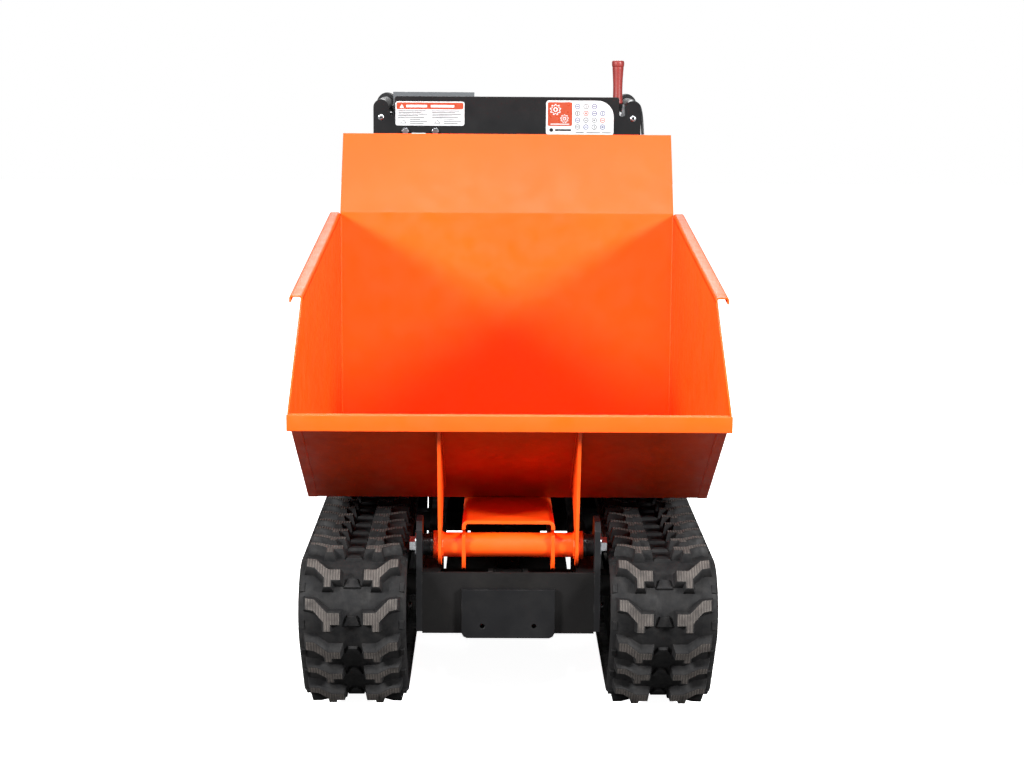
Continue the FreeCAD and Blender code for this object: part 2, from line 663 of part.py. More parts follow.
# ---- gearbox ----
def gear(teeth, x0, x1, y, z, phase, bore):
    """Spur gear with straight flanks and backlash."""
    pitch_r = MODULE * teeth / 2
    top = pitch_r + MODULE * 0.9
    root = pitch_r - MODULE * 1.2
    step = 2 * math.pi / teeth
    flank = [(root, 0.31), (pitch_r, 0.215), (top, 0.11)]
    tooth = flank + [(radius, -share) for radius, share in reversed(flank)]
    outline = []
    for i in range(teeth):
        middle = phase + i * step
        for radius, share in tooth:
            angle = middle - share * step
            outline.append((y + radius * math.cos(angle), z + radius * math.sin(angle)))
    return cut(prism_x(outline, x0, x1), rod_x(bore, x0, x1, y, z))


def case_outline(inset):
    """Side outline of the gearbox, drawn in from its outer face by an inset."""
    y0, y1 = SPROCKET_Y - 62 + inset, INPUT_Y + 34 - inset
    z0, z1 = SPROCKET_Z - SUMP + inset, INPUT_Z + 34 - inset
    cant = 26 - 0.6 * inset
    return [(y0 + cant, z0), (y1 - cant, z0), (y1, z0 + cant), (y1, z1 - cant), (y1 - cant, z1),
            (y0 + 2 * cant, z1), (y0, z1 - 2 * cant), (y0, z0 + cant)]


def make_case():
    """Gearbox case as two halves that meet in the machine's middle plane."""
    shell = prism_x(case_outline(0), -CASE_X, CASE_X)
    hollow = prism_x(case_outline(CASE_T), CASE_T - CASE_X, CASE_X - CASE_T)
    necks = [rod_x(28, x0, x1, SPROCKET_Y, SPROCKET_Z) for x0, x1 in both_sides(CASE_X, CASE_X + CASE_T)]
    y1 = INPUT_Y + 34
    ears = [box(x0, x1, y1 - CASE_T, 1180, 160, RAIL_Z0) for x0, x1 in both_sides(40, CASE_X)]
    shaft_bore = rod_x(SHAFT_R + AXLE_PLAY, -100, 100, SPROCKET_Y, SPROCKET_Z)
    input_bore = rod_x(10 + AXLE_PLAY, -CASE_X - 1, -40, INPUT_Y, INPUT_Z)
    whole = cut(fuse(shell, *necks, *ears), hollow, shaft_bore, input_bore)
    return [whole.common(box(x0, x1, 900, 1300, 0, 400)) for x0, x1 in both_sides(0, 100)]


def make_pinion_shaft():
    """Input shaft of the gearbox with its pinion inside and its pulley outside."""
    pinion = gear(PINION_TEETH, -40, -12, INPUT_Y, INPUT_Z, INPUT_ANGLE + math.pi + math.pi / PINION_TEETH, 8)
    shaft = rod_x(10, -CASE_X - 30, -40, INPUT_Y, INPUT_Z)
    pulley = make_pulley(INPUT_PULLEY_R, 9, INPUT_Y, INPUT_Z)
    return fuse(pinion, shaft, rod_x(8, -40, 0, INPUT_Y, INPUT_Z), pulley)


def make_main_gear():
    wheel = gear(GEAR_TEETH, -40, -12, SPROCKET_Y, SPROCKET_Z, INPUT_ANGLE, 12)
    return fuse(wheel, rod_x(12, -44, 44, SPROCKET_Y, SPROCKET_Z))


def make_pulley(radius, bore, y, z):
    x0, x1 = PULLEY_X - PULLEY_HALF, PULLEY_X + PULLEY_HALF
    disc = rod_x(radius, x0, x1, y, z)
    low, high = z + radius - 8, z + radius + 1
    corners = [(-5, low), (5, low), (7, high), (-7, high), (-5, low)]
    groove = Part.Face(Part.makePolygon([V(PULLEY_X + x, y, height) for x, height in corners]))
    groove = groove.revolve(V(0, y, z), V(1, 0, 0), 360)
    return cut(disc, groove, rod_x(bore, x0, x1, y, z))


def v_belt_face(play):
    """Side face inside the belt's loop, drawn in from the pulley rims by a play."""
    small, large = CRANK_PULLEY_R - play, INPUT_PULLEY_R - play
    dy, dz = INPUT_Y - CRANK_Y, INPUT_Z - CRANK_Z
    lean = math.asin((small - large) / math.hypot(dy, dz))
    way = math.atan2(dz, dy)
    quarter = math.pi / 2
    wraps = [(CRANK_Y, CRANK_Z, small, way + quarter - lean, way + 3 * quarter + lean),
             (INPUT_Y, INPUT_Z, large, way - quarter + lean, way + quarter - lean)]
    edges = []
    ends = []
    for y, z, r, first, last in wraps:
        angles = (first, (first + last) / 2, last)
        arc = [V(PULLEY_X - 5, y + r * math.cos(a), z + r * math.sin(a)) for a in angles]
        edges.append(Part.Arc(*arc).toShape())
        ends.append((arc[0], arc[2]))
    edges.append(Part.LineSegment(ends[0][1], ends[1][0]).toShape())
    edges.append(Part.LineSegment(ends[1][1], ends[0][0]).toShape())
    return Part.Face(Part.Wire(Part.__sortEdges__(edges)))


def make_drive_belt():
    """V-belt as two runs and two arcs round its pulleys, with play in the grooves."""
    return v_belt_face(0.5).cut(v_belt_face(7.0)).extrude(V(10, 0, 0))


# ---- engine ----
def tilted(shape, degrees):
    moved = shape.copy()
    moved.rotate(V(0, CRANK_Y, CRANK_Z), V(1, 0, 0), degrees)
    return moved


def make_engine():
    """Crankcase with a finned cylinder that leans back."""
    lean = -25
    foot = box(-72, 72, CRANK_Y - 92, CRANK_Y + 92, DECK_Z + DECK_T, FOOT_TOP)
    case = [(CRANK_Y - 82, FOOT_TOP - 6), (CRANK_Y + 82, FOOT_TOP - 6), (CRANK_Y + 92, 320),
            (CRANK_Y + 84, 420), (CRANK_Y + 40, CASE_TOP), (CRANK_Y - 50, CASE_TOP), (CRANK_Y - 90, 410),
            (CRANK_Y - 92, 310)]
    parts = [foot, prism_x(case, -68, 60)]
    parts.append(tilted(box(-46, 46, CRANK_Y - 46, CRANK_Y + 46, CRANK_Z + 30, CRANK_Z + 128), lean))
    for i in range(8):
        z = CRANK_Z + 62 + i * 8
        parts.append(tilted(box(-60, 60, CRANK_Y - 60, CRANK_Y + 60, z, z + 2.5), lean))
    parts.append(tilted(box(-52, 52, CRANK_Y - 54, CRANK_Y + 54, CRANK_Z + 124, CRANK_Z + 146), lean))
    parts.append(rod_x(30, -76, -60, CRANK_Y, CRANK_Z))
    return cut(fuse(*parts), rod_x(10 + AXLE_PLAY, -78, -50, CRANK_Y, CRANK_Z))


def make_recoil_cover():
    drum = rod_x(104, 64, 118, CRANK_Y, CRANK_Z)
    cone = Part.makeCone(100, 70, 26, V(118, CRANK_Y, CRANK_Z), V(1, 0, 0))
    duct = box(64, 106, CRANK_Y - 30, CRANK_Y + 96, CRANK_Z + 40, CRANK_Z + 150)
    shell = fuse(drum, cone, duct)
    slots = []
    for i in range(12):
        a = 2 * math.pi * i / 12
        slot = box(134, 150, CRANK_Y - 4, CRANK_Y + 4, CRANK_Z + 26, CRANK_Z + 58)
        slot.rotate(V(0, CRANK_Y, CRANK_Z), V(1, 0, 0), math.degrees(a))
        slots.append(slot)
    foot_room = box(64, 73, CRANK_Y - 93, CRANK_Y + 93, DECK_Z, FOOT_TOP + 0.5)
    return cut(shell, foot_room, *slots)


def rounded_box(x0, x1, y0, y1, z0, z1, radius, direction=V(0, 0, 1)):
    block = box(x0, x1, y0, y1, z0, z1)
    edges = [e for e in block.Edges if abs(e.tangentAt(e.FirstParameter).dot(direction)) > 0.99]
    return block.makeFillet(radius, edges)


def fully_rounded(x0, x1, y0, y1, z0, z1, radius):
    block = box(x0, x1, y0, y1, z0, z1)
    return block.makeFillet(radius, block.Edges)


TANK = (-150.0, 60.0, CRANK_Y - 140.0, CRANK_Y - 10.0, 526.0, 626.0)
CAP_X = -44.0
CAP_Y = CRANK_Y - 75.0


def make_tank():
    tank = fully_rounded(*TANK, 24)
    neck = rod_z(22, TANK[5] - 6, TANK[5] + 10, CAP_X, CAP_Y)
    seam_z = TANK[5] - 42
    seam = rounded_box(TANK[0] - 5, TANK[1] + 3, TANK[2] - 5, TANK[3] + 5, seam_z, seam_z + 4, 26)
    filler = rod_z(15, TANK[5] - 40, TANK[5] + 10, CAP_X, CAP_Y)
    legs = []
    for x in (-60, 20):
        legs.append(cut(box(x, x + 6, CRANK_Y - 49, CRANK_Y - 35, CASE_TOP, TANK[4] + 10), tank))
    return [cut(fuse(tank, neck, seam), filler), *legs]


def make_cap():
    top = rod_z(30, TANK[5] + 10, TANK[5] + 26, CAP_X, CAP_Y)
    grips = []
    for i in range(12):
        a = 2 * math.pi * i / 12
        grips.append(rod_z(4, TANK[5] + 10, TANK[5] + 26, CAP_X + 31 * math.cos(a), CAP_Y + 31 * math.sin(a)))
    plug = rod_z(14.9, TANK[5] - 4, TANK[5] + 10, CAP_X, CAP_Y)
    return fuse(top, plug, *grips)


def make_air_filter(engine):
    """Filter box, its throat and the carburettor that seats against the cylinder head."""
    body = fully_rounded(-60, 50, CRANK_Y + 124, CRANK_Y + 206, 466, 570, 16)
    carburettor = box(-26, 18, CRANK_Y + 84, CRANK_Y + 126, 472, 506)
    return cut(fuse(body, carburettor), engine)


def make_muffler(engine):
    drum = fully_rounded(-60, 60, CRANK_Y - 178, CRANK_Y - 104, 380, 470, 18)
    flange = box(-20, 20, CRANK_Y - 110, CRANK_Y - 60, 392, 420)
    outlet = rod_x(11, -84, -56, CRANK_Y - 140, 430)
    return cut(fuse(drum, flange, outlet), rod_x(8, -84, -70, CRANK_Y - 140, 430), engine)


def guard_outline(gap):
    """Side outline of the belt guard, its slanted front face parallel to the belt's upper run."""
    run = V(0, INPUT_Y - CRANK_Y, INPUT_Z - CRANK_Z).normalize()
    start = V(0, CRANK_Y + run.z * gap, CRANK_Z - run.y * gap)
    top = CRANK_Z + gap + 11
    head = start + run * ((top - start.z) / run.z)
    foot = start + run * ((DECK_Y0 - start.y) / run.y)
    low = DECK_Z + DECK_T
    back = CRANK_Y + gap + 11
    return [(back, low), (back, top - 20), (back - 20, top), (head.y, top), (foot.y, foot.z), (foot.y, low)]


def make_belt_guard():
    """Cover over the crank pulley and the V-belt, open toward the engine and at its foot."""
    reach = CRANK_PULLEY_R + 11
    mouth = box(-115, -80, DECK_Y0 - 1, DECK_Y0 + 12, DECK_Z + DECK_T, guard_outline(reach - 3)[4][1])
    hollow = prism_x(guard_outline(reach - 3), -115, -80)
    return cut(prism_x(guard_outline(reach), -118, -80), hollow, mouth)


# ---- power pack ----
def make_power_pack():
    tank = fully_rounded(96, 182, CRANK_Y + 118, CRANK_Y + 180, DECK_Z + DECK_T + 30, 420, 8)
    motor = rod_z(30, 420, 470, 139, CRANK_Y + 149)
    foot = box(100, 178, CRANK_Y + 122, CRANK_Y + 176, DECK_Z + DECK_T, DECK_Z + DECK_T + 38)
    port = rod_z(7, 466, 484, 139, CRANK_Y + 149)
    return fuse(tank, motor, foot, port)


# ---- console and handles ----
def make_console():
    """Folded front panel with a notch and a rounded ear at each side, and two lever brackets behind it."""
    back = CONSOLE_Y + SHEET
    ear = 17.0
    parts = [box(-CONSOLE_X, CONSOLE_X, CONSOLE_Y, back, CONSOLE_BOTTOM, CONSOLE_TOP)]
    parts.append(box(-EAR_X, EAR_X, CONSOLE_Y, back, CONSOLE_BOTTOM, NOTCH_Z))
    for z in (CONSOLE_TOP - SHEET, CONSOLE_BOTTOM):
        parts.append(box(-CONSOLE_X, CONSOLE_X, CONSOLE_Y, CONSOLE_Y + 26, z, z + SHEET))
    for side in (-1, 1):
        x = side * (EAR_X - ear)
        parts.append(rod_y(ear, CONSOLE_Y, back, x, EAR_TOP - ear))
        parts.append(box(x - ear, x + ear, CONSOLE_Y, back, NOTCH_Z, EAR_TOP - ear))
    for x0, x1 in both_sides(LEVER_X - 14, LEVER_X - 10):
        parts.append(box(x0, x1, back, LEVER_Y + 14, LEVER_Z - 16, LEVER_Z + 14))
    for x0, x1 in both_sides(LEVER_X - 10, LEVER_X + 12):
        parts.append(rod_x(LEVER_PIN_R, x0, x1, LEVER_Y, LEVER_Z))
    holes = [rod_y(SCREW_R, CONSOLE_Y, back, x, SCREW_Z) for x in (-HANDLE_X, HANDLE_X)]
    holes += [rod_y(BOLT_R, CONSOLE_Y, back, x, BOLT_Z) for x in BOLT_XS]
    return cut(fuse(*parts), *holes)


def make_screw(x):
    head = rod_y(7, CONSOLE_Y - 3, CONSOLE_Y, x, SCREW_Z)
    socket = hexagon_y(5, CONSOLE_Y - 4, CONSOLE_Y - 1, x, SCREW_Z)
    return cut(fuse(head, rod_y(SCREW_R, CONSOLE_Y - 1, CONSOLE_Y + SHEET, x, SCREW_Z)), socket)


def make_console_bolt(x):
    head = hexagon_y(15, CONSOLE_Y - 7, CONSOLE_Y, x, BOLT_Z)
    nut = hexagon_y(15, CONSOLE_Y + SHEET, CONSOLE_Y + SHEET + 7, x, BOLT_Z)
    return fuse(head, nut, rod_y(BOLT_R, CONSOLE_Y - 1, CONSOLE_Y + SHEET + 1, x, BOLT_Z))


def make_rear_panel():
    """Inner dashboard: a folded sheet whose top edge stands above the front panel."""
    y = CONSOLE_Y + 40
    back = CONSOLE_Y + SHEET
    sheet = box(-254, -73, y, y + SHEET, 908, 1000)
    tab = box(-215, -110, back, y, 930, 930 + SHEET)
    return fuse(sheet, tab)


def make_lever_bracket():
    """Small bright bracket, an upside-down V, behind the right notch."""
    back = CONSOLE_Y + SHEET
    outline = [(249, 925), (256, 976), (259, 976), (264, 925), (260, 925), (257.5, 955), (253, 925)]
    return prism_y(outline, back, back + SHEET)


def make_gear_lever():
    x = LEVER_X
    hub = rod_x(10, x - 6, x + 6, LEVER_Y, LEVER_Z)
    shaft = rod_z(5, LEVER_Z, RED_TOP - 14, x, LEVER_Y)
    return cut(fuse(hub, shaft), rod_x(LEVER_PIN_R + AXLE_PLAY, x - 6, x + 6, LEVER_Y, LEVER_Z))


def make_gear_lever_grip():
    x, y = LEVER_X, LEVER_Y
    low = Part.makeCone(12, 10.5, 30, V(x, y, RED_BOTTOM))
    mid = Part.makeCone(10.5, 12.5, RED_TOP - RED_BOTTOM - 42, V(x, y, RED_BOTTOM + 30))
    top = rod_z(14, RED_TOP - 12, RED_TOP, x, y)
    top = top.makeFillet(4, [e for e in top.Edges if e.Closed])
    return cut(fuse(low, mid, top), rod_z(5, RED_BOTTOM, RED_TOP - 14, x, y))


def make_tip_lever():
    x = -LEVER_X - 6
    hub = rod_x(10, x - 5, x + 5, LEVER_Y, LEVER_Z)
    shaft = rod_z(4, LEVER_Z, 956, x, LEVER_Y)
    knob = Part.makeSphere(9, V(x, LEVER_Y, 962))
    return cut(fuse(hub, shaft, knob), rod_x(LEVER_PIN_R + AXLE_PLAY, x - 5, x + 5, LEVER_Y, LEVER_Z))


def handle_route(side):
    x = side * HANDLE_X
    return [V(x, HANDLE_Y, DECK_Z + DECK_T), V(x, HANDLE_Y, HANDLE_Z), V(x, REAR_Y - 6, HANDLE_Z)]


def make_grip(side):
    x = side * HANDLE_X
    grip = rod_y(GRIP_R, REAR_Y - GRIP_L, REAR_Y, x, HANDLE_Z)
    collar = rod_y(GRIP_R + 5, REAR_Y - GRIP_L, REAR_Y - GRIP_L + 6, x, HANDLE_Z)
    return cut(fuse(grip, collar), rod_y(HANDLE_R, REAR_Y - GRIP_L, REAR_Y - 6, x, HANDLE_Z))


def turned_inboard(shape, side):
    """A part drawn above a handle tube, turned a quarter round the tube to face the other handle."""
    moved = shape.copy()
    moved.rotate(V(side * HANDLE_X, 0, HANDLE_Z), V(0, 1, 0), -90 * side)
    return moved


def make_perch(side):
    """Clamp round a handle tube with a lever pin below it and one on its inboard side."""
    x = side * HANDLE_X
    y0, y1 = PERCH_Y - 10, PERCH_Y + 10
    arm = fuse(box(x - 8, x + 8, y0, y1, HANDLE_Z, HANDLE_Z + PERCH_DROP + 7),
               rod_x(4, x - LEVER_HALF, x + LEVER_HALF, PERCH_Y, HANDLE_Z + PERCH_DROP))
    lower = arm.copy()
    lower.rotate(V(x, 0, HANDLE_Z), V(0, 1, 0), 180)
    clamp = fuse(rod_y(22, y0, y1, x, HANDLE_Z), turned_inboard(arm, side), lower)
    return cut(clamp, rod_y(HANDLE_R, y0, y1, x, HANDLE_Z))


def forked_lever(side, way, cheek, web):
    """Lever drawn above (way 1) or below (way -1) a handle tube: two cheeks on a pin, joined by a web."""
    x = side * HANDLE_X
    z = HANDLE_Z + way * PERCH_DROP
    parts = [prism_x([(PERCH_Y + y, z + way * up) for y, up in web], x - LEVER_HALF, x + LEVER_HALF)]
    for sign in (-1, 1):
        x0, x1 = sorted((x + sign * LEVER_SLOT, x + sign * LEVER_HALF))
        parts.append(prism_x([(PERCH_Y + y, z + way * up) for y, up in cheek], x0, x1))
    return cut(fuse(*parts), rod_x(4 + AXLE_PLAY, x - LEVER_HALF, x + LEVER_HALF, PERCH_Y, z))


def make_squeeze_lever(side, way):
    reach = REAR_Y - 10 - PERCH_Y
    cheek = [(-7, -CHEEK_NEAR), (CHEEK_NEAR, -CHEEK_NEAR), (24, 9), (12, 16), (-8, 8)]
    blade = [(12, 8), (20, 8), (reach, 34), (reach, 40), (12, 16)]
    return forked_lever(side, way, cheek, blade)


def make_throttle_lever():
    cheek = [(-6, -CHEEK_NEAR), (6, -CHEEK_NEAR), (15, 6), (22, 42), (10, 46), (-8, 8)]
    thumb = [(11, 32), (20, 32), (20, 42), (11, 42)]
    return forked_lever(1, 1, cheek, thumb)


def cable(points, radius):
    """A round cable along straight runs joined by the largest tangent arcs they allow."""
    edges = []
    radii = []
    at = points[0]
    for before, corner, after in zip(points, points[1:], points[2:]):
        back = corner - before
        ahead = after - corner
        turn = back.getAngle(ahead)
        reach = 0.45 * min(back.Length, ahead.Length)
        bend = reach / math.tan(turn / 2)
        back.normalize()
        ahead.normalize()
        start = corner - back * reach
        end = corner + ahead * reach
        inward = ahead - back
        inward.normalize()
        middle = corner + inward * (bend / math.cos(turn / 2) - bend)
        edges.append(Part.LineSegment(at, start).toShape())
        edges.append(Part.Arc(start, middle, end).toShape())
        radii.append(round(bend))
        at = end
    edges.append(Part.LineSegment(at, points[-1]).toShape())
    path = Part.Wire(edges)
    first = points[1] - points[0]
    section = Part.Wire([Part.Circle(points[0], first.normalize(), radius).toShape()])
    body = path.makePipeShell([section], True, False)
    ratio = body.Volume / (math.pi * radius ** 2 * path.Length)
    print("cable", round(path.Length), "mm, bends", radii, "volume ratio", round(ratio, 4))
    return body


# ---- output ----
for side, label in ((-1, "left"), (1, "right")):
    save("track_belt_" + label, at_track(BELT_SHAPE, side))
    save("idler_" + label, at_track(make_idler(), side))
    wheel = make_sprocket() if side > 0 else mirrored(make_sprocket())
    save("sprocket_" + label, at_track(wheel, side))
    for number, y in enumerate(ROLLER_YS):
        save("roller_" + label + "_" + "abc"[number], at_track(make_roller(y), side))
    save("steering_lever_" + label, make_squeeze_lever(side, -1))
    flank = make_side() if side > 0 else mirrored(make_side())
    save("bucket_side_" + label, flank)

save("track_frames", *[at_track(part, side) for side in (-1, 1) for part in make_track_frame()])
FOOT_PIN = rod_x(LINK_PIN_R, -38, 38, FOOT[0], FOOT[1])
save("fixed_axles", FOOT_PIN, *[at_track(axle, side) for side in (-1, 1) for axle in make_track_axles()])

save("chassis_frame", *make_chassis())
save("engine_deck", *make_deck())
save("front_plate", make_front_plate())
save("pivot_ears", *pair(make_ear()))
PIN_HOLES = [rod_x(6, x0, x1, PIVOT_Y, PIVOT_Z) for x0, x1 in both_sides(131, 156)]
save("pivot_pin", cut(rod_x(PIN_R, -156, 156, PIVOT_Y, PIVOT_Z), *PIN_HOLES))
WASHER = cut(rod_x(20.5, 156, 159, PIVOT_Y, PIVOT_Z), rod_x(6, 150, 170, PIVOT_Y, PIVOT_Z))
PIVOT_BOLT = fuse(hexagon_x(24, 159, 168.5, PIVOT_Y, PIVOT_Z), rod_x(6, 131, 165, PIVOT_Y, PIVOT_Z))
save("pivot_bolts", *pair(PIVOT_BOLT))
SPACER = cut(rod_x(20, TUBE_X + 1, 132.5, PIVOT_Y, PIVOT_Z), rod_x(PIN_R, 120, 140, PIVOT_Y, PIVOT_Z))
save("pivot_washers", *pair(WASHER), *pair(SPACER))

save("pivot_tube", make_pivot_tube())
save("bucket_ribs", *pair(make_rib()))
save("bucket_channel", make_channel())
save("bucket_slope", make_slope())
save("bucket_floor", bucket_panel(1))
save("bucket_back", fuse(bucket_panel(2), bucket_panel(3)))

save("cylinder_barrel", make_barrel())
save("cylinder_rod", make_rod())
save("cylinder_eye_pin", rod_x(LINK_PIN_R, -CHANNEL_X - 2, CHANNEL_X + 2, EYE[0], EYE[1]))
save("hydraulic_power_pack", make_power_pack())

ENGINE = make_engine()
save("engine_block", ENGINE)
save("recoil_cover", make_recoil_cover())
save("fuel_tank", *make_tank())
save("fuel_cap", make_cap())
save("air_filter", make_air_filter(ENGINE))
save("muffler", make_muffler(ENGINE))
CRANK_SHAFT = rod_x(10, PULLEY_X - 12, -50, CRANK_Y, CRANK_Z)
save("crank_pulley", fuse(CRANK_SHAFT, make_pulley(CRANK_PULLEY_R, 8, CRANK_Y, CRANK_Z)))
save("drive_belt", make_drive_belt())
save("belt_guard", make_belt_guard())
save("gearbox_case", *make_case())
save("pinion_shaft", make_pinion_shaft())
save("main_gear", make_main_gear())

save("handlebars", *[pipe(handle_route(side), HANDLE_R, 60) for side in (-1, 1)])
save("handle_grips", *[make_grip(side) for side in (-1, 1)])
save("lever_perches", *[make_perch(side) for side in (-1, 1)])
save("drive_lever", turned_inboard(make_squeeze_lever(-1, 1), -1))
save("throttle_lever", turned_inboard(make_throttle_lever(), 1))
save("console_panel", make_console())
SCREWS = [make_screw(x) for x in (-HANDLE_X, HANDLE_X)]
save("console_screws", *SCREWS, *[make_console_bolt(x) for x in BOLT_XS])
save("rear_panel", make_rear_panel())
save("lever_bracket", make_lever_bracket())
save("gear_lever", make_gear_lever())
save("gear_lever_grip", make_gear_lever_grip())
save("tip_lever", make_tip_lever())
save("throttle_cable", cable(CABLE_ROUTE, CABLE_R))
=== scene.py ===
import math
import random

import bmesh
import bpy
from mathutils import Matrix, Vector


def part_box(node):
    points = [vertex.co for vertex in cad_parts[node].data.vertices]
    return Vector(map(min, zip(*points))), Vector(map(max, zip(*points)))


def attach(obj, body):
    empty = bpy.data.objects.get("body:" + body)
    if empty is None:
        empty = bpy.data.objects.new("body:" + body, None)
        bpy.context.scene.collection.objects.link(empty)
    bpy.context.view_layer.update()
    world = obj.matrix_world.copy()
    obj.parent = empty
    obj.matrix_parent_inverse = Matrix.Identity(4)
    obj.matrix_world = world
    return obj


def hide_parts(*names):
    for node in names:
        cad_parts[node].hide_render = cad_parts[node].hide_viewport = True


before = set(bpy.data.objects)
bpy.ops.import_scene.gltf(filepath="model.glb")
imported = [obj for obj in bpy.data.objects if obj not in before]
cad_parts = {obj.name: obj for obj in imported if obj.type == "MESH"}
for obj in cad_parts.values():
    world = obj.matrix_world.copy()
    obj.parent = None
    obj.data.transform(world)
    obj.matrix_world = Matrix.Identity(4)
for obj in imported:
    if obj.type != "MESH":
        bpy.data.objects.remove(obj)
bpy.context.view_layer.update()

# Tracked mini dumper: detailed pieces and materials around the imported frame. Metres, row frame:
# -Y is the bucket's lip, +Y the grips, +Z up.

RNG = random.Random(7)
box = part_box
DATUM_Z = 0.028          # height over the ground of the level that fixed heights start from


def centre(node):
    low, high = box(node)
    return (low + high) / 2


# ---------------------------------------------------------------- materials
def new_material(name):
    material = bpy.data.materials.new(name)
    material.use_nodes = True
    tree = material.node_tree
    return material, tree, tree.nodes["Principled BSDF"]


def link(tree, source, target):
    tree.links.new(source, target)


def value_node(tree, kind, **settings):
    node = tree.nodes.new(kind)
    for key, value in settings.items():
        setattr(node, key, value)
    return node


def place_in(tree, output):
    """A coordinate of the shaded point."""
    return tree.nodes.new("ShaderNodeTexCoord").outputs[output]


def noise(tree, scale, detail=4.0, roughness=0.55, stretch=(1, 1, 1)):
    """Noise in the row frame, in cycles per metre."""
    mapping = tree.nodes.new("ShaderNodeMapping")
    mapping.inputs["Scale"].default_value = stretch
    link(tree, place_in(tree, "Object"), mapping.inputs["Vector"])
    texture = tree.nodes.new("ShaderNodeTexNoise")
    texture.inputs["Scale"].default_value = scale
    texture.inputs["Detail"].default_value = detail
    texture.inputs["Roughness"].default_value = roughness
    link(tree, mapping.outputs["Vector"], texture.inputs["Vector"])
    return texture.outputs["Fac"]


def ramp(tree, source, stops):
    node = tree.nodes.new("ShaderNodeValToRGB")
    elements = node.color_ramp.elements
    while len(elements) < len(stops):
        elements.new(0.5)
    for element, (position, colour) in zip(elements, stops):
        element.position = position
        element.color = (*colour, 1) if len(colour) == 3 else colour
    link(tree, source, node.inputs["Fac"])
    return node.outputs["Color"]


def span(tree, source, low, high, from_low=0.3, from_high=0.7):
    node = tree.nodes.new("ShaderNodeMapRange")
    node.inputs["From Min"].default_value = from_low
    node.inputs["From Max"].default_value = from_high
    node.inputs["To Min"].default_value = low
    node.inputs["To Max"].default_value = high
    link(tree, source, node.inputs["Value"])
    return node.outputs["Result"]


def part_of(tree, vector, letter):
    """One component of a vector."""
    parts = tree.nodes.new("ShaderNodeSeparateXYZ")
    link(tree, vector, parts.inputs[0])
    return parts.outputs[letter]


def set_roughness(tree, shader, scale, detail, low, high):
    """Roughness that wanders between two values."""
    link(tree, span(tree, noise(tree, scale, detail), low, high), shader.inputs["Roughness"])


def feed(tree, socket, value):
    """Fills a socket from another socket, a number or a colour."""
    if isinstance(value, bpy.types.NodeSocket):
        link(tree, value, socket)
    else:
        socket.default_value = value if isinstance(value, float) else (*value, 1)


def mix(tree, share, first, second):
    node = value_node(tree, "ShaderNodeMix", data_type="RGBA")
    for socket, value in ((node.inputs[0], share), (node.inputs[6], first), (node.inputs[7], second)):
        feed(tree, socket, value)
    return node.outputs[2]


def math_node(tree, operation, first, second=0.0):
    node = value_node(tree, "ShaderNodeMath", operation=operation)
    for socket, value in zip(node.inputs, (first, second)):
        feed(tree, socket, value)
    return node.outputs[0]


def bump(tree, shader, *layers):
    """Stacks bump layers, each (height, strength, distance in metres)."""
    normal = None
    for height, strength, distance in layers:
        node = tree.nodes.new("ShaderNodeBump")
        node.inputs["Strength"].default_value = strength
        node.inputs["Distance"].default_value = distance
        link(tree, height, node.inputs["Height"])
        if normal is not None:
            link(tree, normal, node.inputs["Normal"])
        normal = node.outputs["Normal"]
    link(tree, normal, shader.inputs["Normal"])


def edge_mask(tree, radius):
    """1 on rounded edges, where wear and a painted highlight go, 0 on flats."""
    tightness = 0.12
    bevel = tree.nodes.new("ShaderNodeBevel")
    bevel.samples = 4
    bevel.inputs["Radius"].default_value = radius
    plain = tree.nodes.new("ShaderNodeNewGeometry")
    dot = value_node(tree, "ShaderNodeVectorMath", operation="DOT_PRODUCT")
    link(tree, bevel.outputs["Normal"], dot.inputs[0])
    link(tree, plain.outputs["Normal"], dot.inputs[1])
    return span(tree, dot.outputs["Value"], 1.0, 0.0, 1.0 - tightness, 1.0)


def painted(name, colour, dark, gloss=0.3, peel=0.25, edge_wear_and_highlight=None, dust=None, coat=0.3, shine=0.5,
            underside_shade=None):
    """Sprayed or powder-coated steel: slight cloudiness, orange peel, edges lighter in patches as wear and
    painted highlight, and downward faces darkened as painted shade.
    """
    material, tree, shader = new_material(name)
    clouds = noise(tree, 3.0, 3)
    surface = ramp(tree, clouds, [(0.3, dark), (0.7, colour)])
    if dust is not None:
        grime = span(tree, noise(tree, 16, 6, 0.7), 0.0, 0.30, 0.50, 0.75)
        surface = mix(tree, grime, surface, dust)
    # Wear and painted highlight: rounded edges turn lighter in noisy patches.
    if edge_wear_and_highlight is not None:
        worn_and_highlight_patches = math_node(tree, "MULTIPLY", edge_mask(tree, 0.0012),
                            span(tree, noise(tree, 60, 5), 0, 0.8, 0.5, 0.62))
        surface = mix(tree, worn_and_highlight_patches, surface, edge_wear_and_highlight)
    # Painted shade: faces that turn downwards are darkened towards the underside colour, standing in for the
    # shade under the bucket.
    if underside_shade is not None:
        facing = span(tree, part_of(tree, place_in(tree, "Normal"), "Z"), 0.92, 0.0, -0.6, -0.2)
        underside_shade_share = math_node(tree, "MULTIPLY", facing, span(tree, noise(tree, 12, 5), 0.8, 1.0))
        surface = mix(tree, underside_shade_share, surface, underside_shade)
    link(tree, surface, shader.inputs["Base Color"])
    set_roughness(tree, shader, 22, 5, gloss * 0.8, gloss * 1.3)
    shader.inputs["Coat Weight"].default_value = coat
    shader.inputs["Specular IOR Level"].default_value = shine
    shader.inputs["Coat Roughness"].default_value = 0.12
    bump(tree, shader, (noise(tree, 700, 2), peel, 0.0002), (noise(tree, 9, 2), 0.12, 0.0006))
    return material


